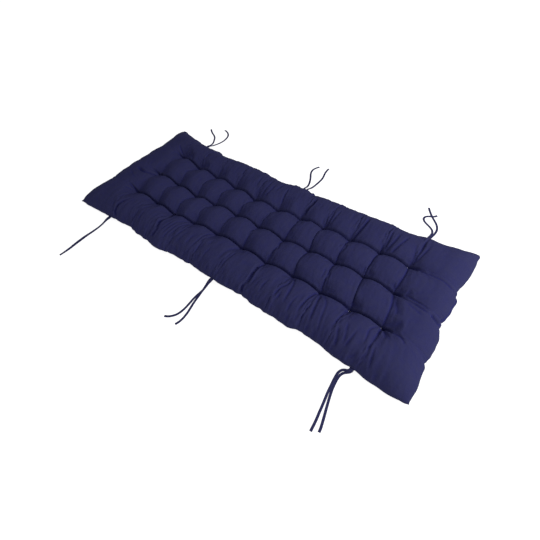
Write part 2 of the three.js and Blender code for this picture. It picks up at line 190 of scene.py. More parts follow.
# Creases in the cloth, placed by station and band of the lattice.
# Columns: depth, half width, how deep it starts (0 to 1), and the places that it runs through.
FOLDS = (
    # Pleats of the near side
    (0.0110, 0.0050, 0.2, ((1.34, 0.52), (1.22, 0.38), (1.15, 0.23), (1.17, 0.11), (1.25, 0.02))),
    (
        0.0150, 0.0060, 0.8,
        ((3.02, 0.97), (3.16, 0.84), (3.18, 0.72), (3.11, 0.55), (3.17, 0.38), (3.2, 0.27)),
    ),
    (0.0110, 0.0050, 0.0, ((3.26, 0.36), (3.24, 0.24), (3.2, 0.09))),
    (0.0100, 0.0042, 1.0, ((2.98, 1.0), (3.06, 0.95), (3.13, 0.88), (3.17, 0.8), (3.18, 0.7))),
    (0.0140, 0.0060, 0.4, ((7.0, 0.86), (6.99, 0.7), (7.03, 0.5), (7.05, 0.34), (7.03, 0.16))),
    (0.0080, 0.0050, 0.2, ((6.94, 0.18), (6.97, 0.09), (7.0, 0.01))),
    # Gathers of the near side
    (0.0023, 0.0036, 0.1, ((2.25, 0.52), (2.28, 0.38), (2.27, 0.22))),
    (0.0019, 0.0036, 0.1, ((1.52, 0.62), (1.45, 0.4), (1.42, 0.2))),
    (0.0016, 0.0036, 0.1, ((1.78, 0.66), (1.74, 0.42), (1.76, 0.24))),
    (0.0030, 0.0036, 0.1, ((3.54, 0.7), (3.47, 0.5), (3.42, 0.28))),
    (0.0026, 0.0036, 0.4, ((3.89, 0.95), (3.68, 0.74), (3.62, 0.5), (3.55, 0.22))),
    (0.0030, 0.0036, 0.1, ((3.8, 0.66), (3.74, 0.42), (3.66, 0.14))),
    (0.0026, 0.0036, 0.4, ((3.98, 0.95), (3.95, 0.76), (3.9, 0.48), (3.8, 0.18))),
    (0.0030, 0.0036, 0.4, ((4.06, 0.95), (4.17, 0.7), (4.13, 0.43), (4.0, 0.16))),
    (0.0019, 0.0036, 0.1, ((4.36, 0.62), (4.3, 0.4), (4.22, 0.2))),
    (0.0030, 0.0036, 0.4, ((4.95, 0.95), (4.86, 0.82), (4.83, 0.45), (4.78, 0.12))),
    (0.0019, 0.0036, 0.1, ((4.6, 0.6), (4.58, 0.4), (4.55, 0.22))),
    (0.0030, 0.0060, 0.4, ((5.96, 0.95), (5.9, 0.82), (5.84, 0.55), (5.78, 0.24))),
    (0.0021, 0.0036, 0.1, ((5.4, 0.5), (5.36, 0.32), (5.36, 0.16))),
    (0.0021, 0.0036, 0.1, ((6.1, 0.66), (6.07, 0.4), (6.04, 0.18))),
    (0.0023, 0.0036, 0.1, ((7.4, 0.52), (7.36, 0.3), (7.38, 0.12))),
    (0.0023, 0.0036, 0.1, ((7.62, 0.6), (7.56, 0.36), (7.58, 0.16))),
    (0.0040, 0.0042, 0.4, ((8.08, 0.95), (8.24, 0.82), (8.33, 0.54), (8.37, 0.18))),
    (0.0040, 0.0042, 0.4, ((8.05, 0.95), (8.15, 0.72), (8.06, 0.5), (8.02, 0.24))),
    (0.0047, 0.0042, 0.3, ((8.14, 0.42), (8.15, 0.34), (8.13, 0.26))),
    (0.0028, 0.0036, 0.1, ((8.62, 0.6), (8.57, 0.36), (8.58, 0.14))),
    (0.0047, 0.0042, 0.4, ((8.97, 0.95), (8.92, 0.86), (8.85, 0.5), (8.82, 0.2))),
    (0.0047, 0.0042, 0.4, ((9.08, 0.9), (9.17, 0.57), (9.3, 0.1))),
    (0.0033, 0.0036, 0.1, ((9.06, 0.54), (9.02, 0.34), (9.0, 0.12))),
    (0.0035, 0.0036, 0.4, ((9.13, 0.95), (9.37, 0.75), (9.5, 0.38), (9.62, 0.06))),
    (0.0040, 0.0042, 0.4, ((9.98, 0.95), (9.94, 0.88), (9.92, 0.57), (9.84, 0.24))),
    (0.0040, 0.0042, 0.2, ((10.02, 0.48), (10.14, 0.26), (10.24, 0.08))),
    (0.0035, 0.0036, 0.2, ((10.18, 0.62), (10.29, 0.42), (10.38, 0.2))),
    (0.0030, 0.0036, 0.1, ((10.5, 0.58), (10.48, 0.36), (10.45, 0.16))),
    (0.0033, 0.0036, 0.4, ((10.92, 0.95), (10.77, 0.74), (10.8, 0.55), (10.81, 0.36))),
    (0.0047, 0.0042, 0.4, ((11.0, 0.95), (11.0, 0.88), (11.0, 0.45), (11.04, 0.04))),
    (0.0035, 0.0036, 0.1, ((11.06, 0.5), (11.12, 0.28), (11.2, 0.05))),
    (0.0040, 0.0042, 0.6, ((11.03, 0.95), (11.1, 0.84), (11.18, 0.73))),
    # Pleats and gathers of the far side
    (0.0130, 0.0050, 0.3, ((7.22, 3.64), (7.2, 3.46), (7.11, 3.29), (7.06, 3.06))),
    (0.0026, 0.0036, 0.2, ((4.94, 3.82), (4.95, 3.45), (4.91, 3.12))),
    (0.0026, 0.0036, 0.1, ((4.72, 3.62), (4.76, 3.4), (4.75, 3.2))),
    (0.0030, 0.0036, 0.1, ((5.22, 3.7), (5.2, 3.38), (5.12, 3.08))),
    (0.0030, 0.0036, 0.1, ((5.43, 3.6), (5.38, 3.3), (5.28, 3.08))),
    (0.0030, 0.0036, 0.4, ((5.68, 3.74), (5.62, 3.54), (5.56, 3.36))),
    (0.0030, 0.0036, 0.1, ((5.92, 3.62), (5.95, 3.36), (6.0, 3.1))),
    (0.0030, 0.0036, 0.8, ((8.06, 3.05), (8.08, 3.34), (8.03, 3.64))),
    (0.0030, 0.0036, 0.8, ((8.19, 3.18), (8.22, 3.38), (8.26, 3.6))),
    (0.0083, 0.0050, 0.8, ((9.07, 3.02), (9.17, 3.38), (9.2, 3.74))),
    (0.0028, 0.0036, 0.2, ((9.08, 3.66), (9.09, 3.5), (9.1, 3.34))),
    (0.0035, 0.0036, 0.8, ((10.08, 3.14), (10.07, 3.38), (10.06, 3.62))),
    (0.0040, 0.0042, 0.8, ((10.15, 3.08), (10.26, 3.36), (10.31, 3.64))),
    (0.0040, 0.0042, 0.8, ((10.35, 3.1), (10.48, 3.36), (10.62, 3.64))),
    (0.0035, 0.0036, 0.8, ((11.04, 3.06), (11.06, 3.5), (11.09, 3.92))),
    (0.0030, 0.0036, 0.8, ((11.07, 3.12), (11.13, 3.34), (11.19, 3.6))),
    # Creases of the left end
    (
        0.0140, 0.0060, 1.0,
        ((1.04, 2.0), (0.97, 1.88), (0.86, 1.74), (0.74, 1.66), (0.56, 1.7), (0.44, 1.74)),
    ),
    (0.0033, 0.0036, 0.1, ((0.4, 1.5), (0.55, 1.4), (0.72, 1.28))),
    (0.0045, 0.0036, 0.8, ((0.97, 0.98), (0.85, 0.9), (0.72, 0.84))),
    (0.0045, 0.0036, 0.8, ((0.96, 1.0), (0.82, 1.03), (0.66, 1.04))),
    (0.0039, 0.0036, 0.8, ((0.97, 3.0), (0.82, 2.96), (0.66, 2.9))),
    (0.0033, 0.0036, 0.8, ((0.96, 3.03), (0.8, 3.14), (0.7, 3.22))),
    # Creases of the right end
    (0.0060, 0.0050, 0.3, ((11.02, 3.0), (11.3, 2.93), (11.62, 2.9), (11.8, 2.86), (12.0, 2.85))),
    (0.0075, 0.0050, 0.5, ((11.02, 1.99), (11.22, 1.93), (11.45, 1.9), (11.76, 1.84))),
    (0.0097, 0.0060, 0.3, ((11.72, 1.88), (11.84, 1.86), (12.0, 1.84))),
    (0.0045, 0.0036, 0.3, ((11.2, 2.03), (11.45, 1.99), (11.78, 1.95))),
    (0.0036, 0.0036, 0.3, ((11.24, 1.8), (11.42, 1.75), (11.6, 1.7))),
    (0.0060, 0.0036, 0.9, ((11.02, 0.99), (11.16, 0.97), (11.3, 0.95), (11.5, 0.93))),
    (0.0036, 0.0036, 0.3, ((11.26, 1.0), (11.38, 0.96), (11.46, 0.9), (11.5, 0.84))),
    (0.0039, 0.0036, 0.9, ((11.02, 0.97), (11.14, 0.86), (11.25, 0.74))),
    (0.0050, 0.0120, 0.6, ((11.02, 1.84), (11.08, 1.64), (11.14, 1.46), (11.16, 1.3))),
    (0.0060, 0.0036, 0.8, ((11.965, 2.84), (11.98, 2.5), (11.98, 2.2), (11.97, 1.95), (11.96, 1.8))),
    # A soft crease between two tufts
    (0.0030, 0.0036, 0.2, ((8.84, 1.62), (8.88, 1.42), (8.84, 1.24))),
)

# How finely the pad's two panels are divided, and how much closer the lines stand at the tufts
COLUMNS_PER_STATION = 46
COLUMNS_AT_LEFT_END = 60
COLUMNS_AT_RIGHT_END = 54
ROWS_PER_BAND = 32
TIGHTER_AT_COLUMNS = 0.25
TIGHTER_AT_ROWS = 0.5

# How a fold is followed, with shares of its length by which it is deep and from which it fades
FOLD_SAMPLES = 28
FOLD_DEEPENS_BY = 0.25
FOLD_FADES_FROM = 0.72
# A fold's section: a trough between two low rims, whose places and widths are in half widths
FOLD_REACH = 4.0
TROUGH_POWER = 1.5
RIM_HEIGHT = 0.2
RIM_PLACE = 1.9
RIM_WIDTH = 0.8

# How far the end seams swell outwards in each band between two tuft rows
LEFT_END_SWELLS = np.array((0.006, 0.003, 0.001, -0.003))
RIGHT_END_SWELLS = np.array((0.005, 0.012, 0.016, 0.007))
END_ROUNDNESS = 0.7

# How far the creases between two tufts of each column bow to the left, in stations
COLUMN_BOWS = (0.0, 0.0, 0.03, 0.03, 0.03, 0.02, 0.0, -0.05, 0.03, 0.01, 0.02, -0.02, 0.0)

# The tight folds between tufts: half width, and how far they run on past the outer tufts
PINCH_WIDTH = 0.004
PINCH_RUNOUT = 0.25
# How much fuller a tight column stands than a slack one, how far past the outer tufts it is
# tight, and the roundness of a slack one
TIGHT_COLUMN_RISE = 0.14
TIGHT_PAST_TUFTS = 0.5
SLACK_ROUNDNESS = 1.5
# How suddenly the seam droops at the corners
CORNER_DROOP_POWER = 4

# Rough distance between two stations and between two bands, for what is measured from a seam
STATION_PITCH = 0.1
BAND_PITCH = 0.11

# How the cloth settles over its filling. It is held taut in the end bands, between two places
# past the outer tufts.
SETTLING_FRAMES = 30
SETTLING_STIFFNESS = 0.05
SETTLING_STARTS = 0.02
MOST_SETTLING = 0.012
PUFFS_KEPT = 0.75
PUFF_PASSES = (10, 28)
TAUT_LEVELS = 10
TAUT_FROM = 0.15
TAUT_BY = 0.6
TAUT_SHARE = 0.85

# Small wrinkles: smoothing passes across and along the pad, strength by place, how far in from the
# seam they are whole, and the seeds of the two sides
FINE_PASSES = (6, 2)
BROAD_PASSES = (8, 9)
RIPPLES_INSIDE = 0.55
RIPPLES_AT_FAR_SIDE = 0.6
RIPPLES_AT_ENDS = 0.35
RIPPLES_START = 0.006
TOP_SEED = 1
UNDERSIDE_SEED = 11

# Puckers along the seams: smoothing passes, reach inwards, and how far they keep from the corners
PUCKER_PASSES = (1, 2)
PUCKER_REACH = 0.16
PUCKERS_START = 0.5

# How the seams wander, how far in that reaches, the width of their notches, and their groove
WAVE_PASSES = (6, 18)
WAVE_SEED = 21
WAVE_REACH = 0.02
NOTCH_WIDTH = 0.006
GROOVE_REACH = 0.009
GROOVE_WIDTH = 0.0025

# Painted shading of the cloth: how light it is on open ground and ridges, and how much darker as painted
# shade where it is hollow, pinched or folded
OPEN_GROUND_SHADING = 0.8
CAVITY_PASSES = (4, 10)
CAVITY_DEPTH = 0.004
ROW_SHADE = 0.7
COLUMN_SHADE = 0.35
SHADE_WIDTH = 0.005
FOLD_SHADE = 0.5
DEEPEST_FOLD = 0.012
UNDERSIDE_CROWN = 0.5

# Finish of the cloth: its gloss, how much its painted shading and its paler blotches show, its weave with
# slubs, and its soft ruffles
CLOTH_ROUGHNESS = 0.92
CLOTH_GLOSS = 0.02
FADING_AND_SHADING_SCALE = 0.8
BLOTCH_FADING = 0.8
BLOTCH_SCALE = 45.0
SLUB_SCALE = 700.0
WEAVE_STRENGTH = 0.35
WEAVE_DEPTH = 0.0002
RUFFLE_SCALE = 60.0
RUFFLE_STRENGTH = 0.35
RUFFLE_DEPTH = 0.004

# Section of a tape: a flat oval with a groove where it is sewn, in shares of its half width
TAPE_SIDES = 20
TAPE_SQUARENESS = 0.55
TAPE_SEWN_AT = 0.62
TAPE_GROOVE = 0.35
TAPE_GROOVE_WIDTH = 0.12
# How a tape is drawn along its route, and how far into the seam its end is sewn
ROUTE_SAMPLES = 12
TAPE_STEP = 0.003
TAPE_WANDER = 0.0007
TAPE_WANDER_SCALE = 38.0
TAPE_FLOOR = 0.0002
TAPE_SEWN_IN = 0.012
TAPE_WORN = 1.0

# Finish of the threads
THREAD_ROUGHNESS = 0.6
PLY_SCALE = 900.0
PLY_STRENGTH = 0.4
PLY_DEPTH = 0.0001
# Each tuft's thread is wrapped over it side by side; places along a wrap, from one end to the other
WRAPS = (-1, 0, 1)
WRAP_PLACES = (-1.0, -0.7, -0.35, 0.0, 0.35, 0.7, 1.0)
# Height of a thread's middle above the cloth, and radius of a cut end, in thread thicknesses
THREAD_RISE = 0.4
LOOSE_END_RADIUS = 0.6
# Tufts with a cut end, by station and row, and its places: share outwards, and rise in thicknesses
LOOSE_ENDS = ((10, 1), (11, 1), (11, 3))
LOOSE_END_PLACES = ((0.0, -0.6), (0.25, 0.5), (0.5, 0.9), (0.75, 1.2), (1.0, 1.6))

# Stitches: pitch, size along, across and up, and how far they turn at random
SEAM_STITCH_PITCH = 0.0045
SEAM_STITCH = (0.0036, 0.0008, 0.0008)
SEAM_SEED = 3
TAPE_STITCH_PITCH = 0.0032
TAPE_STITCH = (0.0024, 0.0006, 0.0005)
TAPE_SEED = 5
TAPE_STITCH_RISE = 0.42
STITCH_TURN = (0.0, 0.0, 0.12)

# Light and floor of the studio
SKY_STRENGTH = 0.67
WINDOW_PLACE = (2.2, 0.5, 1.4)
WINDOW_TARGET = (0.4, 0.0, 0.0)
WINDOW_SIZE = 1.5
WINDOW_POWER = 73
FILL_PLACE = (0.9, -1.6, 1.8)
FILL_TARGET = (0.1, 0.0, 0.0)
FILL_SIZE = 1.2
FILL_POWER = 10
FLOOR_SIZE = 60.0
FLOOR_TONE = 0.24
FLOOR_GLOW = 0.88
FLOOR_ROUGHNESS = 0.9

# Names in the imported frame
BODY = "root"
CLOTH_SLOT = "cushion_fabric"
TIE_SLOT = "tie_fabric"


class PadShape(bpy.types.PropertyGroup):
    """Heights and fullness of the filled pad"""

    crown: FloatProperty(
        name="Crown", description="Height of a full puff", default=0.080, unit="LENGTH"
    )
    left_crown: FloatProperty(
        name="Left crown", description="Height of the pad near its left end", default=0.064, unit="LENGTH"
    )
    right_crown: FloatProperty(
        name="Right crown", description="Height of the pad near its right end", default=0.072, unit="LENGTH"
    )
    tuft: FloatProperty(
        name="Tuft", description="Height that the thread pulls the top cloth down to", default=0.036,
        unit="LENGTH",
    )
    tuft_lift: FloatProperty(
        name="Tuft lift", description="Height that the thread pulls the lower cloth up to", default=0.014,
        unit="LENGTH",
    )
    seam: FloatProperty(
        name="Seam", description="Height of the seam along the sides", default=0.024, unit="LENGTH"
    )
    corner_seam: FloatProperty(
        name="Corner seam", description="Height of the seam at the corners", default=0.013, unit="LENGTH"
    )
    row_crease: FloatProperty(
        name="Row crease", description="Fullness midway between two tufts of a row", default=0.48,
        subtype="FACTOR",
    )
    column_crease: FloatProperty(
        name="Column crease", description="Fullness midway between two tufts of a column", default=0.70,
        subtype="FACTOR",
    )
    crease_at_seam: FloatProperty(
        name="Crease at seam", description="Fullness of a crease where it meets the seam", default=0.94,
        subtype="FACTOR",
    )
    puff_reach: FloatProperty(
        name="Puff reach", description="Distance from a crease to a full puff", default=0.062, unit="LENGTH"
    )
    puff_roundness: FloatProperty(
        name="Puff roundness", description="Power of the puff's profile, lower is rounder", default=0.75
    )
    edge_reach: FloatProperty(
        name="Edge reach", description="Distance from the seam to the full height", default=0.088,
        unit="LENGTH",
    )
    underside_reach: FloatProperty(
        name="Underside reach", description="Distance from the seam to the flat underside",
        default=0.046, unit="LENGTH",
    )
    edge_roundness: FloatProperty(
        name="Edge roundness", description="Power of the edge's profile, lower is rounder", default=0.68
    )
    underside_flat: FloatProperty(
        name="Underside flat", description="Fullness from which the underside lies flat", default=0.55,
        subtype="FACTOR",
    )
    row_pinch: FloatProperty(
        name="Row pinch", description="Depth of the tight fold from tuft to tuft of a row", default=0.013,
        unit="LENGTH",
    )
    column_pinch: FloatProperty(
        name="Column pinch", description="Depth of the tight fold from tuft to tuft of a column",
        default=0.0025, unit="LENGTH",
    )
    ripples: FloatProperty(
        name="Ripples", description="Height of the small uneven wrinkles", default=0.0005, unit="LENGTH"
    )
    puckers: FloatProperty(
        name="Puckers", description="Height of the puckers along the seams", default=0.0008, unit="LENGTH"
    )
    seam_waves: FloatProperty(
        name="Seam waves", description="How far the seams wander out and in", default=0.0014, unit="LENGTH"
    )
    seam_groove: FloatProperty(
        name="Seam groove", description="How far the cloth bulges out past its seam", default=0.0012,
        unit="LENGTH",
    )
    spare_cloth: FloatProperty(
        name="Spare cloth", description="How much larger the cloth is cut than it is sewn", default=0.024,
        subtype="FACTOR",
    )
    filling_pressure: FloatProperty(
        name="Filling pressure", description="How hard the filling presses on the cloth", default=4.0
    )


class TapeSizes(bpy.types.PropertyGroup):
    """The sewn tape of the ties"""

    width: FloatProperty(name="Width", description="Width of the tape", default=0.0090, unit="LENGTH")
    thickness: FloatProperty(
        name="Thickness", description="Thickness of the folded tape", default=0.0018, unit="LENGTH"
    )


class ThreadSizes(bpy.types.PropertyGroup):
    """The threads that tie the pad through"""

    tuft_thread: FloatProperty(
        name="Tuft thread", description="Thickness of the tufting thread", default=0.0011, unit="LENGTH"
    )
    tuft_tie: FloatProperty(
        name="Tuft tie", description="Length of the thread that shows at a tuft", default=0.009,
        unit="LENGTH",
    )
    loose_end: FloatProperty(
        name="Loose end", description="Length of a cut thread end", default=0.006, unit="LENGTH"
    )


class ClothLook(bpy.types.PropertyGroup):
    """Colours and weave of the cloth"""

    navy: FloatVectorProperty(
        name="Navy", description="Colour of the cloth", default=(0.0125, 0.0130, 0.0640), subtype="COLOR",
        size=3,
    )
    # The paler navy is the cloth's paler worn tone and also its painted light on open ground and ridges;
    # navy is also its painted shade in hollows
    faded_and_lit_navy: FloatVectorProperty(
        name="Faded navy", description="Colour of the cloth on the crowns", default=(0.0189, 0.0194, 0.0531),
        subtype="COLOR", size=3,
    )
    thread: FloatVectorProperty(
        name="Thread", description="Colour of the sewing thread", default=(0.03, 0.03, 0.08),
        subtype="COLOR", size=3,
    )
    # The cut thread ends are painted pale as glints on the thread
    painted_glint_thread: FloatVectorProperty(
        name="Pale thread", description="Colour of the cut thread ends", default=(0.35, 0.35, 0.42),
        subtype="COLOR", size=3,
    )
    weave_pitch: FloatProperty(
        name="Weave pitch", description="Distance between the cloth's yarns", default=0.0009, unit="LENGTH"
    )


class StageLook(bpy.types.PropertyGroup):
    """Floor, light and camera"""

    lens: FloatProperty(name="Lens", description="Focal length in millimetres", default=23.349)
    azimuth: FloatProperty(
        name="Azimuth", description="Where the camera stands round the pad", default=math.radians(38.99),
        subtype="ANGLE",
    )
    elevation: FloatProperty(
        name="Elevation", description="Angle of the camera above the floor", default=math.radians(53.74),
        subtype="ANGLE",
    )
    roll: FloatProperty(
        name="Roll", description="Turn of the camera about its own view", default=math.radians(-3.91),
        subtype="ANGLE",
    )
    target: FloatVectorProperty(
        name="Target", description="Point on the floor that the camera looks at",
        default=(0.1571, -0.1621, 0.0), subtype="TRANSLATION", size=3,
    )
    distance: FloatProperty(
        name="Distance", description="Distance from the camera to its target", default=1.3792, unit="LENGTH"
    )


def mix(low, high, share):
    """Straight mix of two values or arrays"""
    return low + (high - low) * share


def smooth_step(share):
    """0 up to 0, 1 from 1, and smooth between them"""
    share = np.clip(share, 0, 1)
    return share * share * (3 - 2 * share)


def plan(u, v):
    """Plan position of lattice place (u, v), with x and y on the last axis"""
    u, v = np.broadcast_arrays(np.asarray(u, float), np.asarray(v, float))
    i = np.clip(np.floor(u).astype(int), 0, LAST_STATION - 1)
    j = np.clip(np.floor(v).astype(int), 0, LAST_BAND - 1)
    along = (u - i)[..., None]
    across = (v - j)[..., None]
    near = mix(LATTICE[i, j], LATTICE[i + 1, j], along)
    far = mix(LATTICE[i, j + 1], LATTICE[i + 1, j + 1], along)
    place = mix(near, far, across)
    side_swell = np.sin(np.pi * (u - i))
    end_swell = np.sin(np.pi * (v - j)) ** END_ROUNDNESS
    place[..., 1] += FAR_SWELL[i] * side_swell * np.clip(v - LAST_BAND + 1, 0, 1)
    place[..., 1] -= NEAR_SWELL[i] * side_swell * np.clip(1 - v, 0, 1)
    place[..., 0] += RIGHT_END_SWELLS[j] * end_swell * np.clip(u - LAST_STATION + 1, 0, 1)
    place[..., 0] -= LEFT_END_SWELLS[j] * end_swell * np.clip(1 - u, 0, 1)
    return place


def span(u, v, other_u, other_v):
    """Plan distance between two lattice places"""
    return np.linalg.norm(plan(u, v) - plan(other_u, other_v), axis=-1)


def rise_from_seams(u, v, reach, roundness):
    """0 on a seam and 1 from the given reach inwards, along a rounded profile"""
    rise = 1.0
    for distance in (
        span(u, v, np.zeros_like(u), v),
        span(u, v, np.full_like(u, LAST_STATION), v),
        span(u, v, u, np.zeros_like(v)),
        span(u, v, u, np.full_like(v, LAST_BAND)),
    ):
        left = 1 - np.clip(distance / reach, 0, 1)
        rise = rise * (1 - left**2) ** roundness
    return rise


def column_bow(u, v):
    """How far the creases of the tuft columns stand to the left of the straight line, in stations"""
    return np.interp(u, range(LAST_STATION + 1), COLUMN_BOWS) * np.sin(np.pi * v) ** 2


def straightened(u, v):
    """The station places that a grid would have if the creases of its columns ran straight"""
    return u + column_bow(u + column_bow(u, v), v)


def fullness(u, v, shape):
    """0 at a tuft and 1 on a crown, with creases from tuft to tuft that fade towards the seams"""
    u = straightened(u, v)
    column = np.clip(np.round(u), 1, LAST_STATION - 1)
    row = np.clip(np.round(v), 1, LAST_BAND - 1)
    from_column = np.sin(np.pi / 2 * np.clip(span(u, v, column, v) / shape.puff_reach, 0, 1))
    from_row = np.sin(np.pi / 2 * np.clip(span(u, v, u, row) / shape.puff_reach, 0, 1))
    past_tufts = np.maximum(1 - v, v - LAST_BAND + 1)
    tightness = COLUMN_TIGHTNESS[column.astype(int)] * (1 - smooth_step(past_tufts / TIGHT_PAST_TUFTS))
    from_column = from_column ** mix(SLACK_ROUNDNESS, shape.puff_roundness, tightness)
    from_row = from_row**shape.puff_roundness
    to_near = CREASES_TO_NEAR_SEAM[column.astype(int)]
    to_far = CREASES_TO_FAR_SEAM[column.astype(int)]
    to_left = CREASES_TO_LEFT_END[row.astype(int)]
    to_right = CREASES_TO_RIGHT_END[row.astype(int)]
    past_end = np.maximum((1 - u) / to_left, (u - LAST_STATION + 1) / to_right)
    past_side = np.maximum((1 - v) / to_near, (v - LAST_BAND + 1) / to_far)
    row_crease = mix(shape.row_crease, shape.crease_at_seam, smooth_step(past_end))
    column_crease = shape.column_crease + TIGHT_COLUMN_RISE * (tightness - 0.5)
    column_crease = mix(column_crease, shape.crease_at_seam, smooth_step(past_side))
    return mix(row_crease * from_column, mix(column_crease, 1, from_column), from_row)


def pinch(u, v, row_depth, column_depth, width):
    """Depth of the tight folds that run from tuft to tuft, in rows and in columns"""
    straight = straightened(u, v)
    column = np.clip(np.round(straight), 1, LAST_STATION - 1)
    row = np.clip(np.round(v), 1, LAST_BAND - 1)
    from_column = span(straight, v, column, v) / width
    from_row = span(u, v, u, row) / width
    along_row = smooth_step((np.minimum(u, LAST_STATION - u) - 1 + PINCH_RUNOUT) / PINCH_RUNOUT)
    along_column = smooth_step((np.minimum(v, LAST_BAND - v) - 1 + PINCH_RUNOUT) / PINCH_RUNOUT)
    rows = row_depth * along_row * np.exp(-(from_row**2))
    tightness = COLUMN_TIGHTNESS[column.astype(int)]
    columns = column_depth * tightness * along_column * np.exp(-(from_column**2))
    return np.maximum(rows, columns)


def seam_height(u, v, shape):
    """Height of the seam, which droops towards the four corners"""
    mid_length = 1 - np.abs(2 * u / LAST_STATION - 1) ** CORNER_DROOP_POWER
    mid_width = 1 - np.abs(2 * v / LAST_BAND - 1) ** CORNER_DROOP_POWER
    return mix(shape.corner_seam, shape.seam, np.maximum(mid_length, mid_width))


def top_height(u, v, shape):
    """Height of the upper cloth before its folds"""
    crown = mix(shape.crown, shape.left_crown, np.clip(1 - u, 0, 1))
    crown = mix(crown, shape.right_crown, np.clip(u - LAST_STATION + 1, 0, 1))
    filled = mix(shape.tuft, crown, fullness(u, v, shape))
    rise = rise_from_seams(u, v, shape.edge_reach, shape.edge_roundness)
    return mix(seam_height(u, v, shape), filled, rise)


def underside_height(u, v, shape):
    """Height of the lower cloth, flat but for its tufts and edges"""
    lift = shape.tuft_lift * np.clip(1 - fullness(u, v, shape) / shape.underside_flat, 0, 1)
    rise = rise_from_seams(u, v, shape.underside_reach, shape.edge_roundness)
    return mix(seam_height(u, v, shape), lift, rise)


def lattice_lines(counts, tighter):
    """Places along the lattice, count for each interval, standing closer at the whole numbers"""
    places = []
    for start, count in enumerate(counts):
        even = np.arange(count) / count
        places.append(start + even - tighter * np.sin(2 * np.pi * even) / (2 * np.pi))
    return np.append(np.concatenate(places), len(counts))


def smooth_line(points, samples):
    """Points along a Catmull-Rom curve through the given ones"""
    points = np.asarray(points, float)
    padded = np.vstack([2 * points[0] - points[1], points, 2 * points[-1] - points[-2]])
    places = np.linspace(0, len(points) - 1, samples)
    segment = np.minimum(places.astype(int), len(points) - 2)
    t = (places - segment)[:, None]
    before, start, end, after = (padded[segment + k] for k in range(4))
    return 0.5 * (
        2 * start
        + (end - before) * t
        + (2 * before - 5 * start + 4 * end - after) * t**2
        + (3 * start - before - 3 * end + after) * t**3
    )


def fold_relief(ground, folds):
    """How far each point of a panel is moved outwards by the folds; ground is its plan position"""
    relief = np.zeros(ground.shape[:-1])
    for depth, half_width, start_depth, places in folds:
        line = smooth_line(places, FOLD_SAMPLES)
        line = plan(line[:, 0], line[:, 1])
        margin = FOLD_REACH * half_width
        low, high = line.min(0) - margin, line.max(0) + margin
        inside = np.all((ground > low) & (ground < high), axis=-1)
        point = ground[inside]
        starts, ends = line[:-1], line[1:]
        run = ends - starts
        share = ((point[:, None] - starts) * run).sum(-1) / (run**2).sum(-1)
        share = np.clip(share, 0, 1)
        nearest = starts + share[..., None] * run
        distance = np.linalg.norm(point[:, None] - nearest, axis=-1)
        best = distance.argmin(1)
        index = np.arange(len(point))
        along = (best + share[index, best]) / len(run)
        reach = distance[index, best] / half_width
        deepening = mix(start_depth, 1, smooth_step(along / FOLD_DEEPENS_BY))
        fade = deepening * (1 - smooth_step((along - FOLD_FADES_FROM) / (1 - FOLD_FADES_FROM)))
        rims = RIM_HEIGHT * np.exp(-(((reach - RIM_PLACE) / RIM_WIDTH) ** 2))
        trough = np.exp(-(reach**TROUGH_POWER)) - rims
        relief[inside] -= depth * fade * trough
    return relief


def surface_normals(points):
    """Upward normals of a grid of points, with rows first and columns second"""
    along = np.gradient(points, axis=1)
    across = np.gradient(points, axis=0)
    normals = np.cross(along, across)
    return normals / np.maximum(np.linalg.norm(normals, axis=-1, keepdims=True), 1e-9)


def panel_points(u, v, height, shape):
    """A grid of points with x, y and height"""
    return np.concatenate([plan(u, v), height(u, v, shape)[..., None]], axis=-1)


def arc_lengths(points, axis):
    """Distance along a grid of points, from its middle line outwards"""
    steps = np.linalg.norm(np.diff(points, axis=axis), axis=-1)
    start = np.zeros_like(steps.take([0], axis=axis))
    lengths = np.concatenate([start, np.cumsum(steps, axis=axis)], axis=axis)
    return lengths - lengths.take([lengths.shape[axis] // 2], axis=axis)


def panel_faces(index):
    """Four-sided faces of a grid whose point numbers are given, facing up"""
    corners = [index[:-1, :-1], index[:-1, 1:], index[1:, 1:], index[1:, :-1]]
    return np.stack(corners, axis=-1).reshape(-1, 4)


def new_object(name, data):
    """An object of the scene's own collection, at the origin"""
    made = bpy.data.objects.new(name, data)
    bpy.context.scene.collection.objects.link(made)
    return made


def finish_piece(piece, slot, *nodes):
    """Says what a finished piece rides on, and hides the imported parts that it stands for"""
    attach(piece, BODY)
    if nodes:
        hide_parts(*nodes)
    return piece


def halfway(values, axis):
    """Values with one more between each two neighbours, on a smooth curve through them"""
    values = np.moveaxis(values, axis, 0)
    padded = np.concatenate([2 * values[:1] - values[1:2], values, 2 * values[-1:] - values[-2:-1]])
    between = (9 * (padded[1:-2] + padded[2:-1]) - padded[:-3] - padded[3:]) / 16
    finer = np.empty((2 * len(values) - 1, *values.shape[1:]))
    finer[::2] = values
    finer[1::2] = between
    return np.moveaxis(finer, 0, axis)


def smoothed(values, passes):
    """Values on a grid, each mixed with its neighbours so many times across and along the pad"""
    for axis, times in enumerate(passes):
        values = np.moveaxis(values, axis, 0)
        for _ in range(times):
            padded = np.concatenate([values[:1], values, values[-1:]])
            values = (padded[:-2] + 2 * values + padded[2:]) / 4
        values = np.moveaxis(values, 0, axis)
    return values


def uneven(size, passes, seed):
    """Random waves on a grid, smoothed across and along the pad, with a spread of 1"""
    waves = smoothed(np.random.default_rng(seed).standard_normal(size), passes)
    return waves / waves.std()


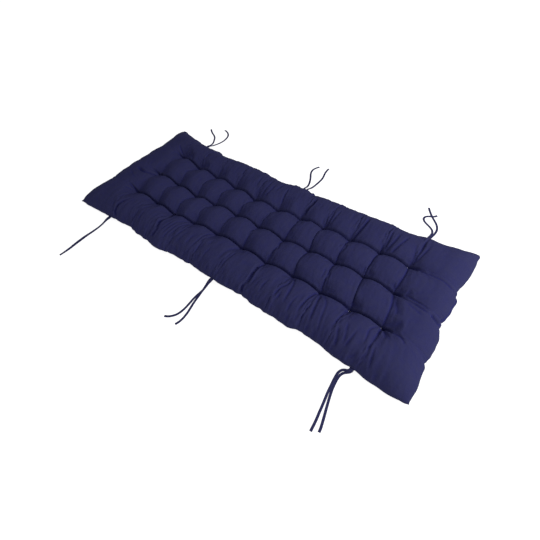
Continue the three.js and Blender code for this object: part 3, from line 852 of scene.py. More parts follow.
def ripples(u, v, shape, seed):
    """Height of the small uneven wrinkles of the cloth, which mostly run across the pad"""
    to_side = np.minimum(v, LAST_BAND - v)
    to_end = np.minimum(u, LAST_STATION - u)
    at_side = np.where(v < LAST_BAND / 2, 1.0, RIPPLES_AT_FAR_SIDE)
    gathered = mix(at_side, RIPPLES_INSIDE, smooth_step(to_side))
    gathered = gathered * mix(RIPPLES_AT_ENDS, 1, smooth_step(to_end))
    fine = uneven(u.shape, FINE_PASSES, seed)
    broad = uneven(u.shape, BROAD_PASSES, seed + 1)
    wrinkles = shape.ripples * gathered * (fine + broad)
    long_seam = np.exp(-((to_side / PUCKER_REACH) ** 2))
    end_seam = np.exp(-((to_end / PUCKER_REACH) ** 2))
    along_sides = uneven((1, u.shape[1]), PUCKER_PASSES, seed + 2)
    along_ends = uneven((u.shape[0], 1), PUCKER_PASSES, seed + 3)
    long_seam = long_seam * smooth_step(to_end - PUCKERS_START)
    end_seam = end_seam * smooth_step(to_side - PUCKERS_START)
    puckers = shape.puckers * (long_seam * along_sides + end_seam * along_ends)
    return wrinkles + puckers


def moved_seams(u, v, shape):
    """How far the cloth stands out at its wavy seams and past their groove, in x and y"""
    outwards = np.zeros((*u.shape, 2))
    # Each seam: seed, axis that it moves along, distance from it in the lattice, pitch and direction
    for seed, axis, lattice_distance, pitch, sign in (
        (WAVE_SEED, 1, v, BAND_PITCH, -1),
        (WAVE_SEED + 1, 1, LAST_BAND - v, BAND_PITCH, 1),
        (WAVE_SEED + 2, 0, u, STATION_PITCH, -1),
        (WAVE_SEED + 3, 0, LAST_STATION - u, STATION_PITCH, 1),
    ):
        size = (1, u.shape[1]) if axis == 1 else (u.shape[0], 1)
        waves = uneven(size, WAVE_PASSES, seed)
        distance = lattice_distance * pitch
        wander = shape.seam_waves * waves * np.exp(-((distance / WAVE_REACH) ** 2))
        groove = np.exp(-((distance / GROOVE_REACH) ** 2))
        groove = groove * (1 - np.exp(-((distance / GROOVE_WIDTH) ** 2)))
        outwards[..., axis] += sign * (wander + shape.seam_groove * groove)
    right = np.exp(-(((LAST_STATION - u) * STATION_PITCH / WAVE_REACH) ** 2))
    for place, depth in END_NOTCHES:
        outwards[..., 0] -= depth * right * np.exp(-(((v - place) * BAND_PITCH / NOTCH_WIDTH) ** 2))
    for side, place, depth in SIDE_NOTCHES:
        edge = np.exp(-(((v - side) * BAND_PITCH / WAVE_REACH) ** 2))
        notch = depth * edge * np.exp(-(((u - place) * STATION_PITCH / NOTCH_WIDTH) ** 2))
        outwards[..., 1] += notch if side == 0 else -notch
    return outwards


def simulated_settling(points, held, taut, shape):
    """Lets the cloth settle over its filling by simulation; returns how far each point moves"""
    mesh = bpy.data.meshes.new("settling_cloth")
    faces = panel_faces(np.arange(held.size).reshape(held.shape))
    mesh.from_pydata(points.reshape(-1, 3).tolist(), [], faces.tolist())
    cloth = new_object("settling_cloth", mesh)
    sewn = cloth.vertex_groups.new(name="sewn")
    sewn.add(np.flatnonzero(held).tolist(), 1.0, "REPLACE")
    tight = cloth.vertex_groups.new(name="tight")
    for level in range(1, TAUT_LEVELS + 1):
        chosen = np.flatnonzero(np.round(taut * TAUT_LEVELS) == level)
        tight.add(chosen.tolist(), level / TAUT_LEVELS, "REPLACE")
    modifier = cloth.modifiers.new("settling", "CLOTH")
    settings = modifier.settings
    settings.vertex_group_mass = "sewn"
    settings.effector_weights.gravity = 0
    settings.use_pressure = True
    settings.uniform_pressure_force = shape.filling_pressure
    settings.shrink_min = -shape.spare_cloth
    settings.shrink_max = 0
    settings.vertex_group_shrink = "tight"
    settings.bending_stiffness = SETTLING_STIFFNESS
    modifier.collision_settings.use_collision = False
    modifier.point_cache.frame_end = SETTLING_FRAMES
    for step in range(1, SETTLING_FRAMES + 1):
        bpy.context.scene.frame_set(step)
    result = cloth.evaluated_get(bpy.context.evaluated_depsgraph_get()).to_mesh()
    moved = np.empty(points.size)
    result.vertices.foreach_get("co", moved)
    bpy.data.objects.remove(cloth)
    bpy.context.scene.frame_set(1)
    offset = moved.reshape(points.shape) - points
    offset = offset - PUFFS_KEPT * smoothed(offset, PUFF_PASSES)
    distance = np.linalg.norm(offset, axis=-1, keepdims=True)
    return offset * np.minimum(1, MOST_SETTLING / np.maximum(distance, 1e-9))


def settling(u, v, top, shape):
    """How far each point of the upper cloth moves as it settles between its seams and tufts"""
    held = np.ones(u.shape, bool)
    held[1:-1, 1:-1] = False
    held |= (u == np.round(u)) & (v == np.round(v))
    past_tufts = np.maximum(1 - u, u - LAST_STATION + 1)
    taut = smooth_step((past_tufts - TAUT_FROM) / (TAUT_BY - TAUT_FROM))
    offset = simulated_settling(top[::2, ::2], held[::2, ::2], taut[::2, ::2], shape)
    offset = halfway(halfway(offset, 0), 1)
    share = rise_from_seams(u, v, SETTLING_STARTS, 1) * (1 - TAUT_SHARE * taut)
    return offset * share[..., None]


def painted_shading(u, v, top, folds):
    """How light the upper cloth is painted: up to 1 on open ground and ridges, less as painted shade in
    hollows, pinches and folds
    """
    cavity = ((smoothed(top, CAVITY_PASSES) - top) * surface_normals(top)).sum(-1)
    shade = pinch(u, v, ROW_SHADE, COLUMN_SHADE, SHADE_WIDTH)
    shade = np.maximum(shade, FOLD_SHADE * np.clip(-folds / DEEPEST_FOLD, 0, 1))
    return np.clip(OPEN_GROUND_SHADING - cavity / CAVITY_DEPTH - shade, 0, 1)


def mark_cover(mesh, laid, crown, size):
    """Gives the cover its cloth's layout, its painted shading, and numbers that count round its seam"""
    corners = np.empty(len(mesh.loops), int)
    mesh.loops.foreach_get("vertex_index", corners)
    uv = mesh.uv_layers.new(name="cloth")
    uv.data.foreach_set("uv", laid[corners].astype(np.float32).ravel())
    # crown carries painted shading: painted shade in hollows, pinches and folds, painted light on ridges
    shading_layer = mesh.attributes.new("crown", "FLOAT", "POINT")
    shading_layer.data.foreach_set("value", crown.astype(np.float32))
    numbers = np.arange(size[0] * size[1]).reshape(size)
    ring = np.concatenate([numbers[0, :-1], numbers[:-1, -1], numbers[-1, :0:-1], numbers[:0:-1, 0]])
    seam = np.zeros(len(mesh.vertices), np.int32)
    seam[ring] = np.arange(1, len(ring) + 1)
    mesh.attributes.new("seam", "INT", "POINT").data.foreach_set("value", seam)


def pad_mesh(shape):
    """The filled pad as one closed mesh, with its cloth laid out along both grid directions"""
    inner = [COLUMNS_PER_STATION] * (LAST_STATION - 2)
    columns = lattice_lines([COLUMNS_AT_LEFT_END] + inner + [COLUMNS_AT_RIGHT_END], TIGHTER_AT_COLUMNS)
    rows = lattice_lines([ROWS_PER_BAND] * LAST_BAND, TIGHTER_AT_ROWS)
    u, v = np.meshgrid(columns, rows)
    u = u - column_bow(u, v)
    ground = plan(u, v)
    top = panel_points(u, v, top_height, shape)
    underside = panel_points(u, v, underside_height, shape)
    cloth = np.stack([arc_lengths(top, 1), arc_lengths(top, 0)], axis=-1)
    top = top + settling(u, v, top, shape)
    edge = rise_from_seams(u, v, RIPPLES_START, 1)
    folds = fold_relief(ground, FOLDS)
    relief = folds + edge * ripples(u, v, shape, TOP_SEED)
    top = top + surface_normals(top) * relief[..., None]
    top[..., 2] -= pinch(u, v, shape.row_pinch, shape.column_pinch, PINCH_WIDTH)
    # crown is painted shading: darker as painted shade in hollows, pinches and folds, lighter on ridges
    crown = painted_shading(u, v, top, folds)

    underside[..., 2] -= edge * ripples(u, v, shape, UNDERSIDE_SEED)
    underside[..., 2] = np.maximum(underside[..., 2], 0)
    moved = moved_seams(u, v, shape)
    top[..., :2] += moved
    underside[..., :2] += moved

    mesh, inside = joined_panels(top, underside)
    laid = np.concatenate([cloth.reshape(-1, 2), cloth[::2, ::2][inside]])
    crown = np.concatenate([crown.ravel(), np.full(inside.sum(), UNDERSIDE_CROWN)])
    mark_cover(mesh, laid, crown, u.shape)
    mesh.shade_smooth()
    return mesh


def joined_panels(top, underside):
    """One closed mesh of the upper panel and every second line of the lower one, with a shared edge"""
    numbers = np.arange(top[..., 0].size).reshape(top.shape[:2])
    lower = numbers[::2, ::2].copy()
    inside = np.zeros(lower.shape, bool)
    inside[1:-1, 1:-1] = True
    lower[inside] = numbers.size + np.arange(inside.sum())
    rows, columns = lower.shape
    faces = panel_faces(numbers).tolist()
    for row in range(rows - 1):
        for column in range(columns - 1):
            face = [lower[row, column]]
            if column == 0:
                face.append(numbers[2 * row + 1, 0])
            face.append(lower[row + 1, column])
            if row == rows - 2:
                face.append(numbers[-1, 2 * column + 1])
            face.append(lower[row + 1, column + 1])
            if column == columns - 2:
                face.append(numbers[2 * row + 1, -1])
            face.append(lower[row, column + 1])
            if row == 0:
                face.append(numbers[0, 2 * column + 1])
            faces.append([int(number) for number in face])
    points = np.concatenate([top.reshape(-1, 3), underside[::2, ::2][inside]])
    mesh = bpy.data.meshes.new("cushion_cover")
    mesh.from_pydata(points.tolist(), [], faces)
    mesh.validate()
    return mesh, inside


def add_node(tree, kind, inputs=None, **settings):
    """A node with its settings made and its inputs set or linked, by name or by number"""
    node = tree.nodes.new(kind)
    for name, value in settings.items():
        setattr(node, name, value)
    for name, value in (inputs or {}).items():
        socket = node.inputs[name]
        if isinstance(value, bpy.types.NodeSocket):
            tree.links.new(value, socket)
        else:
            socket.default_value = value
    return node


def combine(tree, operation, first, second=0.0):
    """The output of a Math node"""
    return add_node(tree, "ShaderNodeMath", {0: first, 1: second}, operation=operation).outputs[0]


def new_material(name):
    """A material with a Principled shader; returns the material, its tree and the shader"""
    material = bpy.data.materials.new(name)
    material.use_nodes = True
    tree = material.node_tree
    return material, tree, tree.nodes["Principled BSDF"]


def yarn_relief(tree, place, pitch):
    """Height of a plain weave at a place on the cloth, given in metres"""
    turns = add_node(tree, "ShaderNodeVectorMath", {0: place, "Scale": math.pi / pitch}, operation="SCALE")
    parts = add_node(tree, "ShaderNodeSeparateXYZ", {0: turns.outputs[0]})
    warp = combine(tree, "SINE", parts.outputs["X"])
    weft = combine(tree, "SINE", parts.outputs["Y"])
    return combine(tree, "MULTIPLY", warp, weft)


def navy_cloth(name, look, place_from, worn=None):
    """Matt plain-woven cloth, evenly worn pale where worn is given, and else painted light on open ground
    and ridges and painted dark as shade in hollows, pinches and folds
    """
    material, tree, shader = new_material(name)
    place = place_from(tree)
    # crown is the cover's painted shading, and the even wear on a tape
    crown = worn
    if worn is None:
        crown = add_node(tree, "ShaderNodeAttribute", attribute_name="crown").outputs["Fac"]
    blotches = add_node(
        tree, "ShaderNodeTexNoise",
        {"Vector": place, "Scale": BLOTCH_SCALE, "Detail": 4.0, "Roughness": 0.6},
    )
    centred = combine(tree, "SUBTRACT", blotches.outputs["Fac"], 0.5)
    patchy = combine(tree, "MULTIPLY", centred, BLOTCH_FADING)
    # The share of paler navy: the painted shading on the cover and the even wear on a tape, each with random
    # paler blotches
    fading_and_shading = combine(tree, "ADD", combine(tree, "MULTIPLY", crown, FADING_AND_SHADING_SCALE), patchy)
    colour = add_node(
        tree, "ShaderNodeMix", {"Factor": fading_and_shading, "A": (*look.navy, 1), "B": (*look.faded_and_lit_navy, 1)},
        data_type="RGBA",
    )
    tree.links.new(colour.outputs["Result"], shader.inputs["Base Color"])
    shader.inputs["Roughness"].default_value = CLOTH_ROUGHNESS
    shader.inputs["Specular IOR Level"].default_value = CLOTH_GLOSS
    yarns = yarn_relief(tree, place, look.weave_pitch)
    slubs = add_node(tree, "ShaderNodeTexNoise", {"Vector": place, "Scale": SLUB_SCALE, "Detail": 2.0})
    weave = combine(tree, "ADD", yarns, slubs.outputs["Fac"])
    fine = add_node(
        tree, "ShaderNodeBump", {"Height": weave, "Strength": WEAVE_STRENGTH, "Distance": WEAVE_DEPTH}
    )
    ruffles = add_node(
        tree, "ShaderNodeTexNoise",
        {"Vector": place, "Scale": RUFFLE_SCALE, "Detail": 3.0, "Distortion": 0.6},
    )
    coarse = add_node(
        tree, "ShaderNodeBump",
        {
            "Height": ruffles.outputs["Fac"], "Strength": RUFFLE_STRENGTH, "Distance": RUFFLE_DEPTH,
            "Normal": fine.outputs["Normal"],
        },
    )
    tree.links.new(coarse.outputs["Normal"], shader.inputs["Normal"])
    return material


def laid_out(tree):
    """Place on the cover's own cloth"""
    return add_node(tree, "ShaderNodeUVMap", uv_map="cloth").outputs["UV"]


def along_tape(tree):
    """Place on a tape, from how far along and how far round it is"""
    along = add_node(tree, "ShaderNodeAttribute", attribute_name="along").outputs["Fac"]
    around = add_node(tree, "ShaderNodeAttribute", attribute_name="around").outputs["Fac"]
    return add_node(tree, "ShaderNodeCombineXYZ", {"X": along, "Y": around}).outputs[0]


def new_tree(name, sockets):
    """A Geometry Nodes tree with a geometry in and out and named inputs; returns it and its ends"""
    tree = bpy.data.node_groups.new(name, "GeometryNodeTree")
    tree.interface.new_socket("Geometry", in_out="INPUT", socket_type="NodeSocketGeometry")
    for socket, kind in sockets.items():
        tree.interface.new_socket(socket, in_out="INPUT", socket_type=kind)
    tree.interface.new_socket("Geometry", in_out="OUTPUT", socket_type="NodeSocketGeometry")
    return tree, tree.nodes.new("NodeGroupInput"), tree.nodes.new("NodeGroupOutput")


def close_tree(tree, group_in, group_out, geometry):
    """Ends a tree in real geometry with its material"""
    real = add_node(tree, "GeometryNodeRealizeInstances", {"Geometry": geometry})
    dressed = add_node(
        tree, "GeometryNodeSetMaterial",
        {"Geometry": real.outputs[0], "Material": group_in.outputs["Material"]},
    )
    tree.links.new(dressed.outputs[0], group_out.inputs[0])
    return tree


def grow(name, data, tree, values):
    """Runs a Geometry Nodes tree on some data and returns the result as a plain mesh object"""
    seed = new_object(name + "_seed", data)
    modifier = seed.modifiers.new(tree.name, "NODES")
    modifier.node_group = tree
    sockets = {item.name: item.identifier for item in tree.interface.items_tree if item.in_out == "INPUT"}
    for socket, value in values.items():
        modifier[sockets[socket]] = value
    depsgraph = bpy.context.evaluated_depsgraph_get()
    mesh = bpy.data.meshes.new_from_object(seed.evaluated_get(depsgraph))
    bpy.data.objects.remove(seed)
    mesh.name = name
    return new_object(name, mesh)


def tape_section(width, thickness):
    """A flat tape's outline, folded over and sewn down near one edge, as a closed curve"""
    curve = bpy.data.curves.new("tape_section", "CURVE")
    curve.dimensions = "3D"
    spline = curve.splines.new("POLY")
    spline.use_cyclic_u = True
    angles = np.linspace(0, 2 * np.pi, TAPE_SIDES, endpoint=False)
    spline.points.add(len(angles) - 1)
    for point, angle in zip(spline.points, angles):
        across = np.sign(np.cos(angle)) * abs(np.cos(angle)) ** TAPE_SQUARENESS
        up = np.sign(np.sin(angle)) * abs(np.sin(angle)) ** TAPE_SQUARENESS
        groove = 1 - TAPE_GROOVE * math.exp(-(((across - TAPE_SEWN_AT) / TAPE_GROOVE_WIDTH) ** 2))
        point.co = (across * width / 2, up * groove * thickness / 2, 0, 1)
    return new_object("tape_section", curve)


def route_line(route):
    """Close points along a tie's route"""
    return smooth_line(route, ROUTE_SAMPLES * (len(route) - 1) + 1)


def line_curve(name, *lines):
    """A curve with one open straight-segment spline for each line of points"""
    curve = bpy.data.curves.new(name, "CURVE")
    curve.dimensions = "3D"
    for line in lines:
        spline = curve.splines.new("POLY")
        spline.points.add(len(line) - 1)
        spline.points.foreach_set("co", np.column_stack([line, np.ones(len(line))]).ravel())
    return curve


def tape_tree():
    """Sweeps a tape along a curve, keeping it level from side to side"""
    tree, group_in, group_out = new_tree("Sewn tape", {
        "Section": "NodeSocketObject", "Step": "NodeSocketFloat", "Wander": "NodeSocketFloat",
        "Floor": "NodeSocketFloat", "Material": "NodeSocketMaterial",
    })
    even = add_node(
        tree, "GeometryNodeResampleCurve",
        {"Curve": group_in.outputs["Geometry"], "Length": group_in.outputs["Step"]}, mode="LENGTH",
    )
    level = add_node(tree, "GeometryNodeSetCurveNormal", {"Curve": even.outputs[0]}, mode="Z_UP")
    place = add_node(tree, "GeometryNodeSplineParameter")
    measured = add_node(
        tree, "GeometryNodeStoreNamedAttribute",
        {"Geometry": level.outputs[0], "Name": "along", "Value": place.outputs["Length"]},
        data_type="FLOAT", domain="POINT",
    )
    section = add_node(tree, "GeometryNodeObjectInfo", {"Object": group_in.outputs["Section"]})
    around = add_node(
        tree, "GeometryNodeStoreNamedAttribute",
        {"Geometry": section.outputs["Geometry"], "Name": "around", "Value": place.outputs["Length"]},
        data_type="FLOAT", domain="POINT",
    )
    swept = add_node(
        tree, "GeometryNodeCurveToMesh",
        {"Curve": measured.outputs[0], "Profile Curve": around.outputs[0], "Fill Caps": True},
    )
    noise = add_node(tree, "ShaderNodeTexNoise", {"Scale": TAPE_WANDER_SCALE, "Detail": 2.0})
    centred = add_node(
        tree, "ShaderNodeVectorMath", {0: noise.outputs["Color"], 1: (0.5, 0.5, 0.5)}, operation="SUBTRACT"
    )
    wander = add_node(
        tree, "ShaderNodeVectorMath", {0: centred.outputs[0], "Scale": group_in.outputs["Wander"]},
        operation="SCALE",
    )
    uneven = add_node(
        tree, "GeometryNodeSetPosition", {"Geometry": swept.outputs[0], "Offset": wander.outputs[0]}
    )
    position = add_node(tree, "GeometryNodeInputPosition")
    parts = add_node(tree, "ShaderNodeSeparateXYZ", {0: position.outputs[0]})
    above = combine(tree, "MAXIMUM", parts.outputs["Z"], group_in.outputs["Floor"])
    lifted = add_node(
        tree, "ShaderNodeCombineXYZ", {"X": parts.outputs["X"], "Y": parts.outputs["Y"], "Z": above}
    )
    resting = add_node(
        tree, "GeometryNodeSetPosition", {"Geometry": uneven.outputs[0], "Position": lifted.outputs[0]}
    )
    smooth = add_node(tree, "GeometryNodeSetShadeSmooth", {"Geometry": resting.outputs[0]})
    return close_tree(tree, group_in, group_out, smooth.outputs[0])


def stitch_tree():
    """Lays short stitches along each line, each turned a little differently"""
    tree, group_in, group_out = new_tree("Row of stitches", {
        "Pitch": "NodeSocketFloat", "Stitch": "NodeSocketVector", "Turn": "NodeSocketVector",
        "Seed": "NodeSocketInt", "Material": "NodeSocketMaterial",
    })
    places = add_node(
        tree, "GeometryNodeCurveToPoints",
        {"Curve": group_in.outputs["Geometry"], "Length": group_in.outputs["Pitch"]}, mode="LENGTH",
    )
    along = add_node(
        tree, "FunctionNodeAlignRotationToVector", {"Vector": places.outputs["Tangent"]}, axis="X"
    )
    back = add_node(
        tree, "ShaderNodeVectorMath", {0: group_in.outputs["Turn"], "Scale": -1.0}, operation="SCALE"
    )
    turn = add_node(
        tree, "FunctionNodeRandomValue",
        {"Min": back.outputs[0], "Max": group_in.outputs["Turn"], "Seed": group_in.outputs["Seed"]},
        data_type="FLOAT_VECTOR",
    )
    as_rotation = add_node(tree, "FunctionNodeEulerToRotation", {"Euler": turn.outputs[0]})
    turned = add_node(
        tree, "FunctionNodeRotateRotation",
        {"Rotation": along.outputs[0], "Rotate By": as_rotation.outputs[0]}, rotation_space="LOCAL",
    )
    bead = add_node(tree, "GeometryNodeMeshUVSphere", {"Segments": 6, "Rings": 4, "Radius": 0.5})
    stitch = add_node(
        tree, "GeometryNodeTransform",
        {"Geometry": bead.outputs["Mesh"], "Scale": group_in.outputs["Stitch"]},
    )
    laid = add_node(
        tree, "GeometryNodeInstanceOnPoints",
        {"Points": places.outputs["Points"], "Instance": stitch.outputs[0], "Rotation": turned.outputs[0]},
    )
    smooth = add_node(tree, "GeometryNodeSetShadeSmooth", {"Geometry": laid.outputs[0]})
    return close_tree(tree, group_in, group_out, smooth.outputs[0])


def thread_tree():
    """Sweeps a round thread along each line"""
    tree, group_in, group_out = new_tree("Thread", {
        "Radius": "NodeSocketFloat", "Material": "NodeSocketMaterial",
    })
    circle = add_node(
        tree, "GeometryNodeCurvePrimitiveCircle", {"Resolution": 6, "Radius": group_in.outputs["Radius"]}
    )
    swept = add_node(
        tree, "GeometryNodeCurveToMesh",
        {"Curve": group_in.outputs["Geometry"], "Profile Curve": circle.outputs[0], "Fill Caps": True},
    )
    smooth = add_node(tree, "GeometryNodeSetShadeSmooth", {"Geometry": swept.outputs[0]})
    return close_tree(tree, group_in, group_out, smooth.outputs[0])


def thread_material(look, pale=False):
    """Twisted sewing thread, a little glossier than the cloth, or its cut end painted pale as a glint"""
    material, tree, shader = new_material("painted_glint_thread" if pale else "sewing_thread")
    place = add_node(tree, "ShaderNodeTexCoord").outputs["Object"]
    ply = add_node(
        tree, "ShaderNodeTexWave", {"Vector": place, "Scale": PLY_SCALE, "Distortion": 1.0},
        bands_direction="DIAGONAL",
    )
    relief = add_node(
        tree, "ShaderNodeBump",
        {"Height": ply.outputs["Fac"], "Strength": PLY_STRENGTH, "Distance": PLY_DEPTH},
    )
    tree.links.new(relief.outputs["Normal"], shader.inputs["Normal"])
    # A cut end's pale colour is a painted glint
    shader.inputs["Base Color"].default_value = (*(look.painted_glint_thread if pale else look.thread), 1)
    shader.inputs["Roughness"].default_value = THREAD_ROUGHNESS
    return material


def area_light(name, place, target, size, power):
    """A round white lamp that faces its target"""
    light = bpy.data.lights.new(name, "AREA")
    light.shape = "DISK"
    light.size = size
    light.energy = power
    lamp = new_object(name, light)
    lamp.location = place
    lamp.rotation_euler = (Vector(target) - Vector(place)).to_track_quat("-Z", "Y").to_euler()
    return lamp


def floor_plane():
    """A wide pale floor that glows a little, so it shows white"""
    mesh = bpy.data.meshes.new("floor")
    reach = FLOOR_SIZE / 2
    corners = [(-reach, -reach, 0), (reach, -reach, 0), (reach, reach, 0), (-reach, reach, 0)]
    mesh.from_pydata(corners, [], [(0, 1, 2, 3)])
    floor = new_object("floor", mesh)
    material, _tree, shader = new_material("pale_floor")
    shader.inputs["Base Color"].default_value = (FLOOR_TONE, FLOOR_TONE, FLOOR_TONE, 1)
    shader.inputs["Roughness"].default_value = FLOOR_ROUGHNESS
    shader.inputs["Emission Color"].default_value = (1, 1, 1, 1)
    shader.inputs["Emission Strength"].default_value = FLOOR_GLOW
    mesh.materials.append(material)
    return floor


class LOUNGER_OT_stage(bpy.types.Operator):
    """Make the camera, the soft light and the pale floor"""

    bl_idname = "lounger.stage"
    bl_label = "Stage"

    def execute(self, context):
        stage = context.scene.stage_look
        back = Vector((
            math.sin(stage.azimuth) * math.cos(stage.elevation),
            -math.cos(stage.azimuth) * math.cos(stage.elevation),
            math.sin(stage.elevation),
        ))
        camera_data = bpy.data.cameras.new("camera")
        camera_data.lens = stage.lens
        camera = new_object("camera", camera_data)
        level = (-back).to_track_quat("-Z", "Y").to_matrix()
        turned = level @ Matrix.Rotation(stage.roll, 3, "Z")
        place = Matrix.Translation(Vector(stage.target) + back * stage.distance)
        camera.matrix_world = place @ turned.to_4x4()
        context.scene.camera = camera

        world = bpy.data.worlds.new("soft_studio")
        world.use_nodes = True
        sky = world.node_tree.nodes["Background"]
        sky.inputs["Color"].default_value = (1, 1, 1, 1)
        sky.inputs["Strength"].default_value = SKY_STRENGTH
        context.scene.world = world
        context.scene.view_settings.view_transform = "Standard"
        area_light("window", WINDOW_PLACE, WINDOW_TARGET, WINDOW_SIZE, WINDOW_POWER)
        area_light("fill", FILL_PLACE, FILL_TARGET, FILL_SIZE, FILL_POWER)
        floor_plane()
        return {"FINISHED"}


class LOUNGER_OT_ties(bpy.types.Operator):
    """Make the twelve tails of sewn tape"""

    bl_idname = "lounger.ties"
    bl_label = "Ties"

    def execute(self, context):
        sizes = context.scene.tape_sizes
        cloth = navy_cloth("tape_cloth", context.scene.cloth_look, along_tape, worn=TAPE_WORN)
        section = tape_section(sizes.width, sizes.thickness)
        tree = tape_tree()
        for node, route in TIE_ROUTES.items():
            line = route_line(route)
            inwards = (line[0] - line[1]) / np.linalg.norm(line[0] - line[1])
            drawn = np.vstack([line[0] + inwards * TAPE_SEWN_IN, line])
            tape = grow(node.replace("tie_", "tape_"), line_curve(node, drawn), tree, {
                "Section": section, "Step": TAPE_STEP, "Wander": TAPE_WANDER, "Floor": TAPE_FLOOR,
                "Material": cloth,
            })
            finish_piece(tape, TIE_SLOT, node)
        bpy.data.objects.remove(section)
        return {"FINISHED"}


class LOUNGER_OT_pad(bpy.types.Operator):
    """Make the filled and tufted pad"""

    bl_idname = "lounger.pad"
    bl_label = "Pad"

    def execute(self, context):
        mesh = pad_mesh(context.scene.pad_shape)
        mesh.materials.append(navy_cloth("cover_cloth", context.scene.cloth_look, laid_out))
        pad = new_object("cushion_cover", mesh)
        finish_piece(pad, CLOTH_SLOT, "cushion")
        return {"FINISHED"}


class LOUNGER_OT_tufts(bpy.types.Operator):
    """Make the threads that tie the pad through, on both of its sides"""

    bl_idname = "lounger.tufts"
    bl_label = "Tuft threads"

    def execute(self, context):
        cover = context.scene.objects["cushion_cover"]
        sizes = context.scene.thread_sizes
        material = thread_material(context.scene.cloth_look)
        pale = thread_material(context.scene.cloth_look, pale=True)
        tree = thread_tree()
        for name, side in (("tuft_threads_top", 1), ("tuft_threads_underside", -1)):
            lines = []
            for station in TUFT_COLUMNS:
                for row in TUFT_ROWS:
                    lines.append(tuft_line(cover, plan(station, row), side, sizes))
            threads = grow(name, line_curve(name, *lines), tree, {
                "Radius": sizes.tuft_thread / 2, "Material": material,
            })
            finish_piece(threads, CLOTH_SLOT)
        # Cut thread ends at three tufts, painted pale as glints
        lines = [loose_end(cover, plan(*tuft), sizes) for tuft in LOOSE_ENDS]
        ends = grow("loose_thread_ends", line_curve("loose_thread_ends", *lines), tree, {
            "Radius": sizes.tuft_thread * LOOSE_END_RADIUS, "Material": pale,
        })
        finish_piece(ends, CLOTH_SLOT)
        return {"FINISHED"}


def tuft_line(cover, centre, side, sizes):
    """The line of a thread wrapped over a tuft and back through the cloth at each end"""
    line = []
    for number, wrap in enumerate(WRAPS):
        for share in WRAP_PLACES if number % 2 == 0 else reversed(WRAP_PLACES):
            x = centre[0] + share * sizes.tuft_tie / 2
            y = centre[1] + wrap * sizes.tuft_thread
            found, place, _normal, _face = cover.ray_cast(Vector((x, y, side)), Vector((0, 0, -side)))
            if not found:
                raise RuntimeError("A tuft thread missed the cover")
            off = THREAD_RISE * sizes.tuft_thread if abs(share) < 1 else -sizes.tuft_thread
            line.append((x, y, place.z + side * off))
    return np.array(line)


def loose_end(cover, centre, sizes):
    """The line of a cut thread end that stands out of a tuft towards the near side"""
    line = []
    for out, up in LOOSE_END_PLACES:
        x = centre[0] - out * sizes.loose_end / 2
        y = centre[1] - out * sizes.loose_end
        found, place, _normal, _face = cover.ray_cast(Vector((x, y, 1)), Vector((0, 0, -1)))
        if not found:
            raise RuntimeError("A loose thread end missed the cover")
        line.append((x, y, place.z + up * sizes.tuft_thread))
    return np.array(line)


class LOUNGER_OT_stitches(bpy.types.Operator):
    """Make the stitches of the seam and of the tapes"""

    bl_idname = "lounger.stitches"
    bl_label = "Stitches"

    def execute(self, context):
        cover = context.scene.objects["cushion_cover"]
        material = thread_material(context.scene.cloth_look)
        tree = stitch_tree()
        seam = grow("seam_stitches", line_curve("seam_line", seam_line(cover)), tree, {
            "Pitch": SEAM_STITCH_PITCH, "Stitch": SEAM_STITCH, "Turn": STITCH_TURN, "Seed": SEAM_SEED,
            "Material": material,
        })
        finish_piece(seam, CLOTH_SLOT)
        sizes = context.scene.tape_sizes
        lines = [tape_stitch_line(route_line(route), sizes) for route in TIE_ROUTES.values()]
        tapes = grow("tape_stitches", line_curve("tape_lines", *lines), tree, {
            "Pitch": TAPE_STITCH_PITCH, "Stitch": TAPE_STITCH, "Turn": STITCH_TURN, "Seed": TAPE_SEED,
            "Material": material,
        })
        finish_piece(tapes, TIE_SLOT)
        return {"FINISHED"}


def tape_stitch_line(line, sizes):
    """Where a tape is sewn: near one edge, on its upper face"""
    along = np.gradient(line, axis=0)
    level = np.column_stack([-along[:, 1], along[:, 0]])
    level = level / np.linalg.norm(level, axis=1, keepdims=True)
    sewn = line.copy()
    sewn[:, :2] += level * sizes.width / 2 * TAPE_SEWN_AT
    sewn[:, 2] += sizes.thickness * TAPE_STITCH_RISE
    return sewn


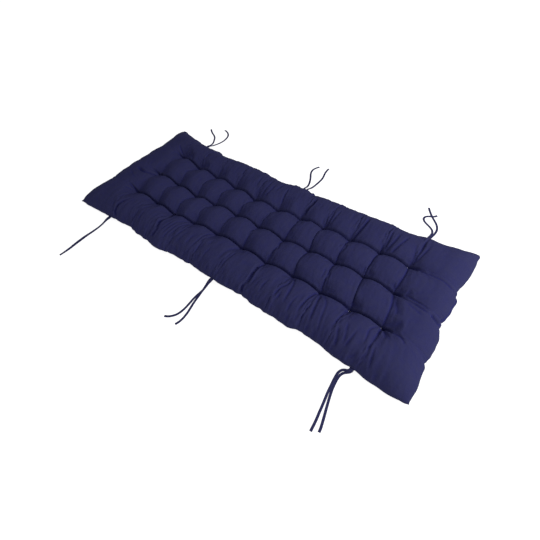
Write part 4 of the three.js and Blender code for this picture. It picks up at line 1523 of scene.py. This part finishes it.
def seam_line(cover):
    """Points round the pad's seam, which is the edge that its two panels share"""
    edge = cover.data.attributes["seam"].data
    numbers = np.empty(len(edge), np.int32)
    edge.foreach_get("value", numbers)
    order = np.argsort(numbers)[np.count_nonzero(numbers == 0):]
    places = np.empty(len(edge) * 3, np.float32)
    cover.data.vertices.foreach_get("co", places)
    ring = places.reshape(-1, 3)[order]
    return np.vstack([ring, ring[:1]])


class LOUNGER_PT_panel(bpy.types.Panel):
    """Sizes, colours and pieces of the pad"""

    bl_label = "Lounger Pad"
    bl_space_type = "VIEW_3D"
    bl_region_type = "UI"
    bl_category = "Lounger Pad"

    def draw(self, context):
        layout = self.layout
        for title, name in (
            ("Stage", "stage_look"), ("Ties", "tape_sizes"), ("Pad", "pad_shape"), ("Cloth", "cloth_look"),
            ("Threads", "thread_sizes"),
        ):
            box = layout.box()
            box.label(text=title)
            group = getattr(context.scene, name)
            for setting in group.bl_rna.properties:
                if not setting.is_readonly and setting.identifier != "name":
                    box.prop(group, setting.identifier)
        for operator in OPERATORS:
            layout.operator(operator.bl_idname)


GROUPS = {
    "pad_shape": PadShape,
    "tape_sizes": TapeSizes,
    "thread_sizes": ThreadSizes,
    "cloth_look": ClothLook,
    "stage_look": StageLook,
}
OPERATORS = (
    LOUNGER_OT_stage, LOUNGER_OT_ties, LOUNGER_OT_pad, LOUNGER_OT_tufts, LOUNGER_OT_stitches,
)


def register():
    """Registers the settings, the operators and the panel"""
    for group in GROUPS.values():
        bpy.utils.register_class(group)
    for name, group in GROUPS.items():
        setattr(bpy.types.Scene, name, PointerProperty(type=group))
    for operator in OPERATORS:
        bpy.utils.register_class(operator)
    bpy.utils.register_class(LOUNGER_PT_panel)


def unregister():
    """Takes the panel, the operators and the settings away again"""
    bpy.utils.unregister_class(LOUNGER_PT_panel)
    for operator in reversed(OPERATORS):
        bpy.utils.unregister_class(operator)
    for name, group in GROUPS.items():
        delattr(bpy.types.Scene, name)
        bpy.utils.unregister_class(group)


def main():
    """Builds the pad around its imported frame"""
    register()
    bpy.ops.lounger.stage()
    bpy.ops.lounger.ties()
    bpy.ops.lounger.pad()
    bpy.ops.lounger.tufts()
    bpy.ops.lounger.stitches()


if __name__ == "__main__":
    main()
